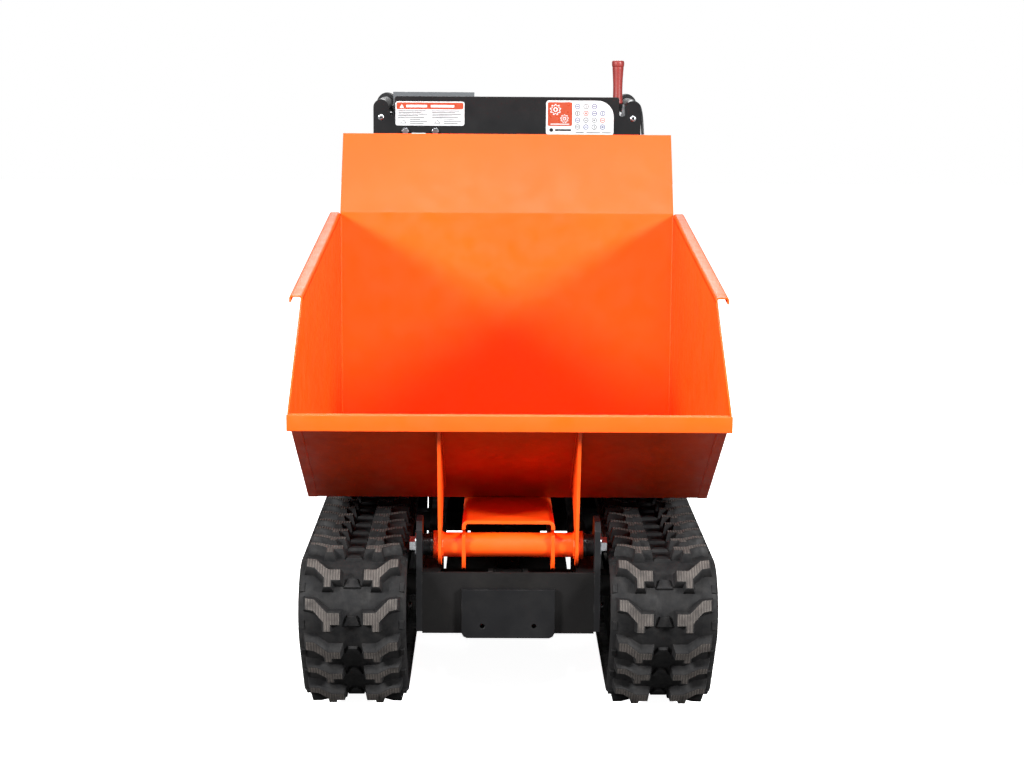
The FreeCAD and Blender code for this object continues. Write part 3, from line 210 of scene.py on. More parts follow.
def metal(name, colour, tint, rough=0.3, brushed=(1, 1, 1), grain=0.2, patina=0.0):
    material, tree, shader = new_material(name)
    surface = ramp(tree, noise(tree, 30, 5), [(0.3, tint), (0.65, colour)])
    if patina:
        spots = span(tree, noise(tree, 90, 6, 0.7), 0.0, patina, 0.55, 0.75)
        surface = mix(tree, spots, surface, (0.10, 0.055, 0.03))
    link(tree, surface, shader.inputs["Base Color"])
    shader.inputs["Metallic"].default_value = 1.0
    set_roughness(tree, shader, 60, 5, rough * 0.75, rough * 1.35)
    bump(tree, shader, (noise(tree, 900, 3, 0.6, brushed), grain, 0.00008))
    return material


def washer_stack(name, face_x):
    """Bright zinc washers outside the ears and black spacers inside them."""
    material = metal(name, (0.82, 0.84, 0.86), (0.66, 0.68, 0.72), 0.2, grain=0.15)
    tree = material.node_tree
    shader = tree.nodes["Principled BSDF"]
    reach = math_node(tree, "ABSOLUTE", part_of(tree, place_in(tree, "Object"), "X"))
    outside = math_node(tree, "GREATER_THAN", reach, face_x)
    bright = shader.inputs["Base Color"].links[0].from_socket
    dark = ramp(tree, noise(tree, 60, 5), [(0.3, (0.010, 0.010, 0.011)), (0.7, (0.022, 0.021, 0.021))])
    link(tree, mix(tree, outside, dark, bright), shader.inputs["Base Color"])
    link(tree, outside, shader.inputs["Metallic"])
    return material


def plastic(name, colour, shade, rough=0.45, grain=0.35, grain_scale=1400):
    material, tree, shader = new_material(name)
    shader.inputs["Specular IOR Level"].default_value = 0.3
    link(tree, ramp(tree, noise(tree, 25, 4), [(0.3, shade), (0.7, colour)]), shader.inputs["Base Color"])
    set_roughness(tree, shader, 80, 4, rough * 0.85, rough * 1.2)
    bump(tree, shader, (noise(tree, grain_scale, 2), grain, 0.0001), (noise(tree, 40, 3), 0.08, 0.0004))
    return material


def rubber(name, colour, dusty, dust_share=0.5, fine=True):
    """Moulded rubber with dry dust in its pores and faint flow marks."""
    material, tree, shader = new_material(name)
    shader.inputs["Specular IOR Level"].default_value = 0.12
    base = ramp(tree, noise(tree, 14, 5), [(0.25, tuple(c * 0.6 for c in colour)), (0.75, colour)])
    spread = span(tree, noise(tree, 55, 8, 0.75), 0.0, dust_share, 0.42, 0.72)
    link(tree, mix(tree, spread, base, dusty), shader.inputs["Base Color"])
    set_roughness(tree, shader, 70, 5, 0.5, 0.82)
    layers = [(noise(tree, 450, 4, 0.7), 0.35, 0.0003), (noise(tree, 24, 4), 0.2, 0.0012)]
    if fine:
        layers.append((noise(tree, 160, 2, 0.5, (1.6, 0.12, 0.12)), 0.45, 0.0008))
    bump(tree, shader, *layers)
    return material


def tread(name):
    """Ground face of a lug: dusty, with narrow flutes across the belt."""
    material, tree, shader = new_material(name)
    shader.inputs["Specular IOR Level"].default_value = 0.2
    wave = value_node(tree, "ShaderNodeTexWave", wave_type="BANDS", bands_direction="X", wave_profile="SIN")
    wave.inputs["Scale"].default_value = 70
    wave.inputs["Distortion"].default_value = 0.6
    wave.inputs["Detail"].default_value = 2
    link(tree, place_in(tree, "Object"), wave.inputs["Vector"])
    flutes = wave.outputs["Fac"]
    worn = ramp(tree, noise(tree, 40, 6, 0.7), [(0.3, (0.030, 0.026, 0.024)), (0.7, (0.095, 0.083, 0.075))])
    link(tree, mix(tree, span(tree, flutes, 0.55, 0.0, 0.2, 0.8), worn, (0.016, 0.015, 0.014)),
         shader.inputs["Base Color"])
    set_roughness(tree, shader, 70, 5, 0.6, 0.85)
    bump(tree, shader, (flutes, 0.7, 0.001), (noise(tree, 400, 4, 0.7), 0.35, 0.0003))
    return material


def printed(name, colour, ink):
    """Laminated label film."""
    rough = 0.3
    material, tree, shader = new_material(name)
    link(tree, ramp(tree, noise(tree, 50, 4), [(0.3, ink), (0.6, colour)]), shader.inputs["Base Color"])
    set_roughness(tree, shader, 120, 4, rough * 0.8, rough * 1.2)
    bump(tree, shader, (noise(tree, 500, 2), 0.1, 0.0001))
    return material


# The underside colour here is painted shade on faces turned downwards.
ORANGE = painted("orange_paint", (0.91, 0.074, 0.002), (0.86, 0.064, 0.0015), gloss=0.42, peel=0.16,
                 edge_wear_and_highlight=(0.95, 0.24, 0.05), coat=0.0, shine=0.33, underside_shade=(0.36, 0.024, 0.001))
BLACK = painted("black_paint", (0.007, 0.007, 0.0078), (0.0045, 0.0045, 0.005), gloss=0.40, peel=0.3,
                edge_wear_and_highlight=(0.05, 0.05, 0.053), dust=(0.016, 0.015, 0.014), coat=0.0, shine=0.3)
PLATE_BLACK = painted("plate_black", (0.0062, 0.0062, 0.0068), (0.0042, 0.0042, 0.0046), gloss=0.55,
                      peel=0.3, edge_wear_and_highlight=(0.05, 0.05, 0.05), dust=(0.016, 0.015, 0.014), coat=0.0, shine=0.12)
CHASSIS_BLACK = painted("chassis_black", (0.0085, 0.008, 0.008), (0.0050, 0.0047, 0.0047), gloss=0.5,
                        peel=0.4, edge_wear_and_highlight=(0.045, 0.043, 0.040), dust=(0.019, 0.017, 0.015), coat=0.0,
                        shine=0.12)
ENAMEL = painted("black_enamel", (0.012, 0.012, 0.014), (0.008, 0.008, 0.009), gloss=0.2, peel=0.15,
                 dust=(0.05, 0.048, 0.045), coat=0.6)
RED_ENAMEL = painted("red_enamel", (0.55, 0.022, 0.015), (0.46, 0.016, 0.011), gloss=0.24, peel=0.15,
                     edge_wear_and_highlight=(0.75, 0.20, 0.15), coat=0.6)
GREY = painted("grey_paint", (0.085, 0.090, 0.095), (0.060, 0.065, 0.070), gloss=0.4, peel=0.3,
               edge_wear_and_highlight=(0.3, 0.3, 0.3), coat=0.0, shine=0.2)
RUBBER = rubber("track_rubber", (0.0095, 0.0095, 0.010), (0.029, 0.027, 0.0255), 0.4)
TREAD = tread("track_tread")
BELT_RUBBER = rubber("v_belt_rubber", (0.02, 0.02, 0.02), (0.07, 0.065, 0.06), 0.4)
GRIP_RUBBER = rubber("grip_rubber", (0.018, 0.018, 0.019), (0.05, 0.05, 0.05), 0.3, False)
WASHERS = washer_stack("washer_stack", 0.155)
ZINC = metal("bright_zinc", (0.82, 0.84, 0.86), (0.66, 0.68, 0.72), 0.2, grain=0.15)
STEEL = metal("machined_steel", (0.56, 0.56, 0.57), (0.42, 0.42, 0.43), 0.3, (0.1, 1, 1), 0.3, 0.25)
IRON = painted("wheel_iron", (0.045, 0.043, 0.043), (0.025, 0.024, 0.024), gloss=0.5, peel=0.9,
               edge_wear_and_highlight=(0.28, 0.27, 0.26), dust=(0.10, 0.085, 0.07), coat=0.1)
ALLOY = metal("cast_alloy", (0.50, 0.51, 0.52), (0.36, 0.37, 0.38), 0.48, grain=0.9, patina=0.2)
# Painted shade: a darker copy of cast_alloy, so the engine block reads as shaded.
SHADED_ENGINE_ALLOY = metal("engine_alloy_painted_shade", (0.24, 0.24, 0.25), (0.15, 0.15, 0.16), 0.55, grain=0.9, patina=0.3)
HOT_STEEL = metal("heated_steel", (0.44, 0.40, 0.36), (0.26, 0.22, 0.20), 0.42, grain=0.5, patina=0.5)
CHROME = metal("polished_rod", (0.80, 0.81, 0.82), (0.72, 0.73, 0.74), 0.09, grain=0.05)
PLASTIC = plastic("black_plastic", (0.022, 0.022, 0.024), (0.014, 0.014, 0.015))
RED_PLASTIC = plastic("red_grip", (0.19, 0.024, 0.020), (0.155, 0.019, 0.016), 0.42, 0.3, 900)
SHEATH = plastic("cable_sheath", (0.016, 0.016, 0.017), (0.010, 0.010, 0.011), 0.38, 0.15, 600)
LABEL_WHITE = printed("label_white", (0.44, 0.445, 0.45), (0.41, 0.415, 0.42))
LABEL_RED = printed("label_red", (0.29, 0.044, 0.018), (0.26, 0.038, 0.015))
LABEL_GREY = printed("label_grey", (0.075, 0.078, 0.082), (0.06, 0.063, 0.067))
LABEL_INK = printed("label_ink", (0.006, 0.006, 0.007), (0.004, 0.004, 0.005))
LABEL_BLUE = printed("label_blue", (0.022, 0.030, 0.12), (0.018, 0.024, 0.10))


# ---------------------------------------------------------------- mesh helpers
def to_object(name, mesh_builder, materials, outward=True):
    """Turns a mesh under construction into an object, with its faces turned outwards."""
    mesh = bpy.data.meshes.new(name)
    if outward:
        bmesh.ops.recalc_face_normals(mesh_builder, faces=mesh_builder.faces)
    mesh_builder.normal_update()
    mesh_builder.to_mesh(mesh)
    mesh_builder.free()
    for material in materials:
        mesh.materials.append(material)
    piece = bpy.data.objects.new(name, mesh)
    bpy.context.scene.collection.objects.link(piece)
    return piece


def round_edges(piece, width, segments, angle):
    bevel = piece.modifiers.new("edges", "BEVEL")
    bevel.width = width
    bevel.segments = segments
    bevel.limit_method = "ANGLE"
    bevel.angle_limit = math.radians(angle)
    return bevel


def soften(piece, width=0.0, segments=2, angle=30):
    """Rounds the sharp edges and shades the piece smooth."""
    if width:
        round_edges(piece, width, segments, angle).harden_normals = True
    for polygon in piece.data.polygons:
        polygon.use_smooth = True
    piece.data.set_sharp_from_angle(angle=math.radians(angle))
    return piece


def settle(piece, body, slot, *nodes):
    """Puts a piece on its body and hides the nodes it stands for. The finish slot is not used."""
    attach(piece, body)
    if nodes:
        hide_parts(*nodes)
    return piece


def fit(name, bm, materials, edge, angle, body, slot, *nodes):
    """Makes a piece from its mesh: edge bevel, smooth shading below an angle, body and nodes. The slot is not
    used.
    """
    return settle(soften(to_object(name, bm, materials), edge, 2, angle), body, slot, *nodes)


def spot(along, across, up, axis):
    """A point from (position on the axis, first and second coordinate across it)."""
    if axis == "X":
        return Vector((along, across, up))
    if axis == "Y":
        return Vector((across, along, up))
    return Vector((across, up, along))


def bridge(bm, first, second):
    """Joins two closed rings of vertices by a band of quads."""
    count = len(first)
    return [bm.faces.new((first[k], first[(k + 1) % count], second[(k + 1) % count], second[k]))
            for k in range(count)]


def add_prism(bm, outline, start, end, axis="X", index=0):
    """Adds a straight extrusion of an outline given in the two coordinates across the axis."""
    rings = [[bm.verts.new(spot(at, a, b, axis)) for a, b in outline] for at in (start, end)]
    faces = [bm.faces.new(rings[0]), bm.faces.new(list(reversed(rings[1])))]
    for face in faces + bridge(bm, rings[1], rings[0]):
        face.material_index = index


def add_box(bm, low, high, index=0):
    outline = [(low[1], low[2]), (high[1], low[2]), (high[1], high[2]), (low[1], high[2])]
    add_prism(bm, outline, low[0], high[0], "X", index)


def add_lathe(bm, profile, middle, axis="X", steps=48, index=0, closed=False):
    """Adds a turned body. The profile is a list of (position on the axis, radius)."""
    rings = []
    for at, radius in profile:
        ring = []
        for i in range(steps):
            a = 2 * math.pi * i / steps
            ring.append(bm.verts.new(spot(at, middle[0] + radius * math.cos(a),
                                          middle[1] + radius * math.sin(a), axis)))
        rings.append(ring)
    pairs = list(zip(rings, rings[1:]))
    if closed:
        pairs.append((rings[-1], rings[0]))
    faces = []
    for first, second in pairs:
        faces += bridge(bm, first, second)
    if not closed:
        faces.append(bm.faces.new(list(reversed(rings[0]))))
        faces.append(bm.faces.new(rings[-1]))
    for face in faces:
        face.material_index = index


def shifted(base, points):
    """Profile points moved along the axis by a base."""
    return [(base + at, radius) for at, radius in points]


def rounded_profile(start, end, radius, round_by):
    """A solid cylinder's lathe profile with rounded rims."""
    steps = 3
    points = [(start, max(radius - round_by - 0.0001, 0.0001))]
    for i in range(steps + 1):
        a = math.pi / 2 * i / steps
        points.append((start + round_by * (1 - math.sin(a)),
                       radius - round_by * (1 - math.cos(math.pi / 2 - a))))
    mirrored = [(start + end - at, r) for at, r in reversed(points)]
    return points + mirrored


def add_rod(bm, start, end, radius, round_by, middle, axis="X", steps=48, index=0):
    add_lathe(bm, rounded_profile(start, end, radius, round_by), middle, axis, steps, index)


def add_tube(bm, route, radius_at, steps):
    """Adds a round bar along a list of points, with its radius given point by point."""
    points = [Vector(p) for p in route]
    rings = []
    side = None
    for i, point in enumerate(points):
        ahead = (points[min(i + 1, len(points) - 1)] - points[max(i - 1, 0)]).normalized()
        if side is None:
            side = ahead.orthogonal().normalized()
        side = (side - ahead * side.dot(ahead)).normalized()
        other = ahead.cross(side)
        ring = [bm.verts.new(point + (side * math.cos(a) + other * math.sin(a)) * radius_at(i))
                for a in (2 * math.pi * k / steps for k in range(steps))]
        rings.append(ring)
    for first, second in zip(rings, rings[1:]):
        bridge(bm, first, second)
    bm.faces.new(list(reversed(rings[0])))
    bm.faces.new(rings[-1])


def cut_out(piece, cutters):
    """Cuts holes and slots with a boolean, then throws the cutters away."""
    for cutter in cutters:
        hole = piece.modifiers.new("hole", "BOOLEAN")
        hole.operation = "DIFFERENCE"
        hole.solver = "EXACT"
        hole.object = cutter
    bpy.context.view_layer.update()
    evaluated = piece.evaluated_get(bpy.context.evaluated_depsgraph_get())
    mesh = bpy.data.meshes.new_from_object(evaluated)
    piece.modifiers.clear()
    old = piece.data
    piece.data = mesh
    bpy.data.meshes.remove(old)
    for cutter in cutters:
        bpy.data.objects.remove(cutter)
    return piece


def weld_bead(bm, start, end, radius):
    """Adds a hand-laid weld: a ripple every few millimetres along a line."""
    start, end = Vector(start), Vector(end)
    length = (end - start).length
    count = max(6, int(length / 0.0022))
    route = [start.lerp(end, i / count) for i in range(count + 1)]
    jitter = [RNG.uniform(-0.08, 0.08) for _ in route]
    add_tube(bm, route, lambda i: radius * (0.92 + 0.12 * math.cos(i * math.pi * 0.8) + jitter[i]), 8)


# ---------------------------------------------------------------- outlines
def rounded_path(points, radii, steps=5):
    """An open line of 2-D points whose corners become arcs."""
    points = [Vector(p) for p in points]
    path = [points[0]]
    for before, corner, after, radius in zip(points, points[1:], points[2:], radii):
        back = (corner - before).normalized()
        ahead = (after - corner).normalized()
        turn = math.atan2(back.x * ahead.y - back.y * ahead.x, back.dot(ahead))
        reach = radius * math.tan(abs(turn) / 2)
        hub = corner + (ahead - back).normalized() * (radius / math.cos(turn / 2))
        start = corner - back * reach - hub
        for i in range(steps + 1):
            path.append(hub + Matrix.Rotation(turn * i / steps, 2) @ start)
    path.append(points[-1])
    return path


def rounded_outline(points, radius, steps=5):
    """A closed outline with one corner radius."""
    middle = (Vector(points[-1]) + Vector(points[0])) / 2
    ring = [middle, *[Vector(p) for p in points], middle]
    return rounded_path(ring, [radius] * len(points), steps)[:-1]


def bent_sheet(points, thickness, bend, steps=5):
    """Section of a folded sheet. The points lie on one face, with the sheet to the left of their way."""
    points = [Vector(p) for p in points]
    ways = [(b - a).normalized() for a, b in zip(points, points[1:])]
    lefts = [Vector((-way.y, way.x)) for way in ways]
    other = [points[0] + lefts[0] * thickness]
    near, far = [], []
    for corner, first, second in zip(points[1:], lefts, lefts[1:]):
        share = thickness / (1 + first.dot(second))
        other.append(corner + (first + second) * share)
        left_turn = first.x * second.y - first.y * second.x > 0
        near.append(bend + thickness if left_turn else bend)
        far.append(bend if left_turn else bend + thickness)
    other.append(points[-1] + lefts[-1] * thickness)
    return rounded_path(points, near, steps) + list(reversed(rounded_path(other, far, steps)))


def circle_points(middle, radius, steps=32, start=0.0, sweep=2 * math.pi):
    count = steps if abs(sweep - 2 * math.pi) < 1e-6 else steps + 1
    return [(middle[0] + radius * math.cos(start + sweep * i / steps),
             middle[1] + radius * math.sin(start + sweep * i / steps)) for i in range(count)]


def spoke(middle, angle, root, tip):
    """Outline of a straight spoke; root and tip are (radius, half width)."""
    out = Vector((math.cos(angle), math.sin(angle)))
    over = Vector((-math.sin(angle), math.cos(angle)))
    corners = ((root[0], -root[1]), (tip[0], -tip[1]), tip, root)
    points = [out * r + over * w for r, w in corners]
    return [(middle[0] + p.x, middle[1] + p.y) for p in points]


def drill(axis, radius, start, end, middle, steps=40):
    bm = bmesh.new()
    add_prism(bm, circle_points(middle, radius, steps), start, end, axis)
    return to_object("cutter", bm, [])


def prism_piece(name, outline, start, end, axis, material, edge=0.0006):
    bm = bmesh.new()
    add_prism(bm, outline, start, end, axis)
    return soften(to_object(name, bm, [material]), edge, 2, 34)


# ---------------------------------------------------------------- bucket
SHEET = 0.003
BEND = 0.004
HALF_BUCKET = box("bucket_side_right")[0].x + SHEET
LIP_Y = box("bucket_slope")[0].y
LIP_Z = box("bucket_slope")[1].z
LIP_HEIGHT = 0.029
LIP_RETURN = 0.012
LIP_OVER = box("bucket_slope")[1].x
FLOOR_Z = box("bucket_floor")[0].z
BACK_Y = box("bucket_side_right")[1].y
SLOPE_FOOT_Y = BACK_Y - 0.756
SIDE_TOP = box("bucket_side_right")[1].z
BACK_TOP = box("bucket_back")[1]
KINK = (LIP_Y + 0.246, SIDE_TOP - 0.079)
FLANGE_X = box("bucket_side_right")[1].x
FLANGE_DROP = 0.012
INSIDE_X = HALF_BUCKET - SHEET
SLOPE_RISE = (LIP_Z - FLOOR_Z) / (SLOPE_FOOT_Y - LIP_Y)
PIVOT = centre("pivot_pin")


def slope_z(y):
    """Height of the slope panel's outer face."""
    return LIP_Z - (y - LIP_Y) * SLOPE_RISE


def make_slope():
    """Folded front panel: slope, lip face and the small return under it."""
    top = (LIP_Y, LIP_Z)
    low = LIP_Z - LIP_HEIGHT
    lip = bent_sheet([(LIP_Y + SHEET + LIP_RETURN, low), (LIP_Y, low), top,
                      (LIP_Y + 0.014, slope_z(LIP_Y + 0.014))], -SHEET, 0.002)
    bm = bmesh.new()
    add_prism(bm, lip, -LIP_OVER, LIP_OVER)
    panel = [(LIP_Y + 0.004, slope_z(LIP_Y + 0.004) - 0.0002), (SLOPE_FOOT_Y, FLOOR_Z),
             (SLOPE_FOOT_Y + 0.004, FLOOR_Z)]
    add_prism(bm, bent_sheet(panel, SHEET, 0.004), -INSIDE_X, INSIDE_X)
    fit("slope_panel", bm, [ORANGE], 0.0007, 34, "bucket", "orange_paint", "bucket_slope")


def make_floor():
    points = [(SLOPE_FOOT_Y + 0.004, FLOOR_Z), (BACK_Y, FLOOR_Z), (BACK_Y, FLOOR_Z + 0.02)]
    piece = prism_piece("floor_panel", bent_sheet(points, SHEET, BEND), -INSIDE_X, INSIDE_X, "X", ORANGE)
    return settle(piece, "bucket", "orange_paint", "bucket_floor")


def make_back():
    top = (BACK_TOP.y, BACK_TOP.z)
    points = [(BACK_Y, FLOOR_Z + 0.02), (BACK_Y, SIDE_TOP), top]
    piece = prism_piece("back_panel", bent_sheet(points, SHEET, 0.005), -INSIDE_X, INSIDE_X, "X", ORANGE,
                        0.0008)
    return settle(piece, "bucket", "orange_paint", "bucket_back")


def make_side(side, label):
    """Flank with its rolled flange on top and the strip folded under the slope."""
    inner = INSIDE_X
    outline = [(LIP_Y + SHEET, slope_z(LIP_Y + SHEET)), (SLOPE_FOOT_Y, FLOOR_Z), (BACK_Y, FLOOR_Z),
               (BACK_Y, SIDE_TOP), KINK, (LIP_Y + SHEET, LIP_Z + 0.002)]
    bm = bmesh.new()
    flat = outline[:3] + [(BACK_Y, SIDE_TOP - BEND - SHEET), (KINK[0], KINK[1] - BEND - SHEET), outline[5]]
    add_prism(bm, flat, inner, HALF_BUCKET)
    fold = bent_sheet([(HALF_BUCKET, -0.010), (HALF_BUCKET, -SHEET), (FLANGE_X - SHEET, -SHEET),
                       (FLANGE_X - SHEET, -FLANGE_DROP)], SHEET, 0.0022)
    rings = []
    for y, top in ((KINK[0], KINK[1]), (BACK_Y, SIDE_TOP)):
        rings.append([bm.verts.new((x, y, top + z)) for x, z in fold])
    bm.faces.new(rings[0])
    bm.faces.new(list(reversed(rings[1])))
    bridge(bm, rings[1], rings[0])
    strip_top, strip_foot = LIP_Y + 0.030, SLOPE_FOOT_Y
    drop = 0.0022
    strip = [(strip_top, slope_z(strip_top)), (strip_foot, FLOOR_Z), (strip_foot, FLOOR_Z - drop * 0.3),
             (strip_top, slope_z(strip_top) - drop)]
    add_prism(bm, strip, inner - 0.014, HALF_BUCKET)
    if side < 0:
        bmesh.ops.scale(bm, vec=(-1, 1, 1), verts=bm.verts)
    fit("side_panel_" + label, bm, [ORANGE], 0.0008, 34, "bucket", "orange_paint", "bucket_side_" + label)


RIB_T = 0.0055
RIB_INNER = 0.11375          # inner face of a rib
RIB_X = (box("bucket_ribs")[1].x + RIB_INNER) / 2
RIB_START, RIB_FOOT, RIB_END = -0.792, -0.622, -0.522
RIB_WELD = (-0.785, -0.530)
LOBE_R = 0.035
TUBE_R = 0.021


def make_bucket_welds():
    """Painted weld beads in the inner corners and round the rib roots."""
    bm = bmesh.new()
    reach = INSIDE_X - 0.001
    lift = SHEET + 0.001
    for side in (-1, 1):
        x = side * reach
        weld_bead(bm, (x, BACK_Y - lift, FLOOR_Z + 0.006), (x, BACK_Y - lift, SIDE_TOP - 0.006), 0.0026)
        weld_bead(bm, (x, SLOPE_FOOT_Y, FLOOR_Z + lift), (x, BACK_Y - 0.006, FLOOR_Z + lift), 0.0026)
        weld_bead(bm, (x, LIP_Y + 0.02, slope_z(LIP_Y + 0.02) + lift * 1.2),
                  (x, SLOPE_FOOT_Y, FLOOR_Z + lift), 0.0026)
        for face in (-1, 1):
            rib_x = side * RIB_X + face * (RIB_T / 2 + 0.001)
            ends = [(rib_x, y, slope_z(y) - 0.001) for y in RIB_WELD]
            weld_bead(bm, *ends, 0.0024)
            for turn in range(10):
                angles = [math.radians(36 * turn + step) for step in (0, 36)]
                ends = [(rib_x, PIVOT.y + 0.0218 * math.cos(a), PIVOT.z + 0.0218 * math.sin(a))
                        for a in angles]
                weld_bead(bm, *ends, 0.0020)
    piece = soften(to_object("bucket_welds", bm, [ORANGE], False), angle=60)
    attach(piece, "bucket")


def make_rib(side):
    """Flat gusset from the slope panel down to a lobe that the pivot tube runs through."""
    start, end = (RIB_START, slope_z(RIB_START)), (RIB_END, slope_z(RIB_END))
    lobe = circle_points((PIVOT.y, PIVOT.z), LOBE_R, 20, math.radians(165), math.radians(215))
    outline = [start] + lobe + [(RIB_FOOT, FLOOR_Z + 0.002), end]
    x0, x1 = sorted((side * (RIB_X - RIB_T / 2), side * (RIB_X + RIB_T / 2)))
    return prism_piece("rib_" + ("left" if side < 0 else "right"), outline, x0, x1, "X", ORANGE, 0.0009)


def make_ribs():
    ribs = [make_rib(side) for side in (-1, 1)]
    for rib in ribs:
        settle(rib, "bucket", "orange_paint", "bucket_ribs")


CHANNEL_X = box("bucket_channel")[1].x
CHANNEL_T = 0.006
CHANNEL_FRONT = box("bucket_channel")[0].y
CHANNEL_END = box("bucket_channel")[1].y
CHANNEL_LOW = box("bucket_channel")[0].z


def make_channel():
    """Pressed channel under the floor, open below, with rounded shoulders."""
    root = FLOOR_Z - 0.016
    rise = box("bucket_channel")[1].z - FLOOR_Z
    section = bent_sheet([(CHANNEL_X, root), (CHANNEL_X, FLOOR_Z), (-CHANNEL_X, FLOOR_Z),
                          (-CHANNEL_X, root)], CHANNEL_T, 0.005, 7)
    bm = bmesh.new()
    rings = []
    for y, lift in ((CHANNEL_FRONT, rise), (SLOPE_FOOT_Y, 0.0), (CHANNEL_END, 0.0)):
        rings.append([bm.verts.new((x, y, z + lift)) for x, z in section])
    bm.faces.new(rings[0])
    bm.faces.new(list(reversed(rings[-1])))
    for first, second in zip(rings, rings[1:]):
        bridge(bm, first, second)
    leg = [(CHANNEL_FRONT, root), (CHANNEL_FRONT, CHANNEL_LOW + 0.020),
           (CHANNEL_FRONT + 0.006, CHANNEL_LOW + 0.006), (CHANNEL_FRONT + 0.020, CHANNEL_LOW),
           (-0.362, CHANNEL_LOW), (-0.262, DATUM_Z + 0.250), (CHANNEL_END, DATUM_Z + 0.262),
           (CHANNEL_END, root)]
    for x0, x1 in ((CHANNEL_X - CHANNEL_T, CHANNEL_X), (-CHANNEL_X, CHANNEL_T - CHANNEL_X)):
        add_prism(bm, leg, x0, x1)
    fit("floor_channel", bm, [ORANGE], 0.0008, 34, "bucket", "orange_paint", "bucket_channel")


def make_pivot_tube():
    """Turned tube with a collar outside each rib and chamfered mouths."""
    half = box("pivot_tube")[1].x
    collar, bore, step = 0.024, 0.0122, 0.0012
    out = RIB_X + RIB_T / 2
    right = [(out - 0.001, TUBE_R), (out, collar - step), (out + step, collar), (half - step, collar),
             (half, collar - step), (half, bore + step), (half - step, bore)]
    profile = [(-x, r) for x, r in reversed(right)] + right
    bm = bmesh.new()
    add_lathe(bm, profile, (PIVOT.y, PIVOT.z), "X", 64, closed=True)
    fit("tilt_tube", bm, [ORANGE], 0, 35, "bucket", "orange_paint", "pivot_tube")


# ---------------------------------------------------------------- rubber tracks
PITCH = 0.060
LINKS = 41
CARCASS = 0.012
BELT = 0.028
HALF_BELT = 0.090
APPROACH = math.radians(52)
TRACK_X = centre("idler_right").x
TRACK_TOP = box("track_belt_right")[1].z
IDLER = centre("idler_right")
SPROCKET = centre("sprocket_right")
FIRST_ROLLER = centre("roller_right_a")
LAST_ROLLER = centre("roller_right_c")
IDLER_R = TRACK_TOP - BELT - IDLER.z
SPROCKET_R = TRACK_TOP - BELT - SPROCKET.z
ROLLER_R = FIRST_ROLLER.z - BELT


def slant(wheel_z, wheel_r):
    """Length of the belt's straight run between a raised wheel and its end roller."""
    return ((wheel_z - FIRST_ROLLER.z) - (wheel_r - ROLLER_R) * math.cos(APPROACH)) / math.sin(APPROACH)


def loop_pieces():
    mid = CARCASS / 2
    wrap = math.pi - APPROACH
    return [
        (IDLER, IDLER_R + mid, 0.0, wrap),
        (None, slant(IDLER.z, IDLER_R), wrap, wrap),
        (FIRST_ROLLER, ROLLER_R + mid, wrap, math.pi),
        (None, LAST_ROLLER.y - FIRST_ROLLER.y, math.pi, math.pi),
        (LAST_ROLLER, ROLLER_R + mid, math.pi, math.pi + APPROACH),
        (None, slant(SPROCKET.z, SPROCKET_R), math.pi + APPROACH, math.pi + APPROACH),
        (SPROCKET, SPROCKET_R + mid, math.pi + APPROACH, 2 * math.pi),
        (None, SPROCKET.y - IDLER.y, 2 * math.pi, 2 * math.pi),
    ]


LOOP = loop_pieces()


def on_loop(distance, lift):
    """(y, z) at a distance round the belt from the idler's top, nose first, and a lift off its inner face."""
    left = distance % (PITCH * LINKS)
    for hub, size, start, end in LOOP:
        length = size * (end - start) if hub is not None else size
        step = min(left, length)
        angle = start + step / size if hub is not None else start
        if hub is not None:
            point = (hub.y - size * math.sin(angle), hub.z + size * math.cos(angle))
        else:
            point = (point[0] - step * math.cos(angle), point[1] - step * math.sin(angle))
        if left <= length:
            break
        left -= length
    rise = lift - CARCASS / 2
    return point[0] - rise * math.sin(angle), point[1] + rise * math.cos(angle)


def belt_point(middle_x, across, along, lift):
    y, z = on_loop(along, lift)
    return Vector((middle_x + across, y, z))


def belt_section():
    """Half section of the carcass from its middle outwards and back along the inner face."""
    return [(0.0, CARCASS - 0.0030), (0.0125, CARCASS - 0.0030), (0.0175, CARCASS), (0.050, CARCASS),
            (0.072, CARCASS - 0.0006), (0.0835, CARCASS - 0.0035), (0.0885, 0.0062), (HALF_BELT, 0.0035),
            (0.0892, 0.0008), (0.0875, 0.0), (0.060, 0.0), (0.030, 0.0), (0.0, 0.0)]


def add_carcass(bm, middle_x):
    half = belt_section()
    ring = half + [(-u, w) for u, w in reversed(half[1:-1])]
    count = LINKS * 12
    rings = []
    for i in range(count):
        along = PITCH * LINKS * i / count
        rings.append([bm.verts.new(belt_point(middle_x, u, along, w)) for u, w in ring])
    for i in range(count):
        bridge(bm, rings[i], rings[(i + 1) % count])


def grown(outline, reach):
    """A closed outline moved outwards by a reach, its corners mitred."""
    points = [Vector(p) for p in outline]
    area = sum(a.x * b.y - b.x * a.y for a, b in zip(points, points[1:] + points[:1]))
    sign = 1 if area > 0 else -1
    moved = []
    for before, corner, after in zip(points[-1:] + points[:-1], points, points[1:] + points[:1]):
        ways = [(corner - before).normalized(), (after - corner).normalized()]
        normals = [Vector((way.y, -way.x)) * sign for way in ways]
        moved.append(corner + (normals[0] + normals[1]) * (reach / (1 + normals[0].dot(normals[1]))))
    return moved


LUG_OUTLINE = [(0.013, 0.0), (0.028, 0.0012), (0.050, 0.019), (0.071, 0.019), (0.071, 0.037),
               (0.056, 0.037), (0.056, 0.0465), (0.043, 0.0465), (0.043, 0.033), (0.027, 0.0185),
               (0.013, 0.016)]
LUG_FACES = [(0, 1, 9, 10), (1, 2, 8, 9), (2, 3, 4, 5), (2, 5, 6, 7, 8)]
LUG_LEAD = 0.023
LUG_DRAFT = 0.0035


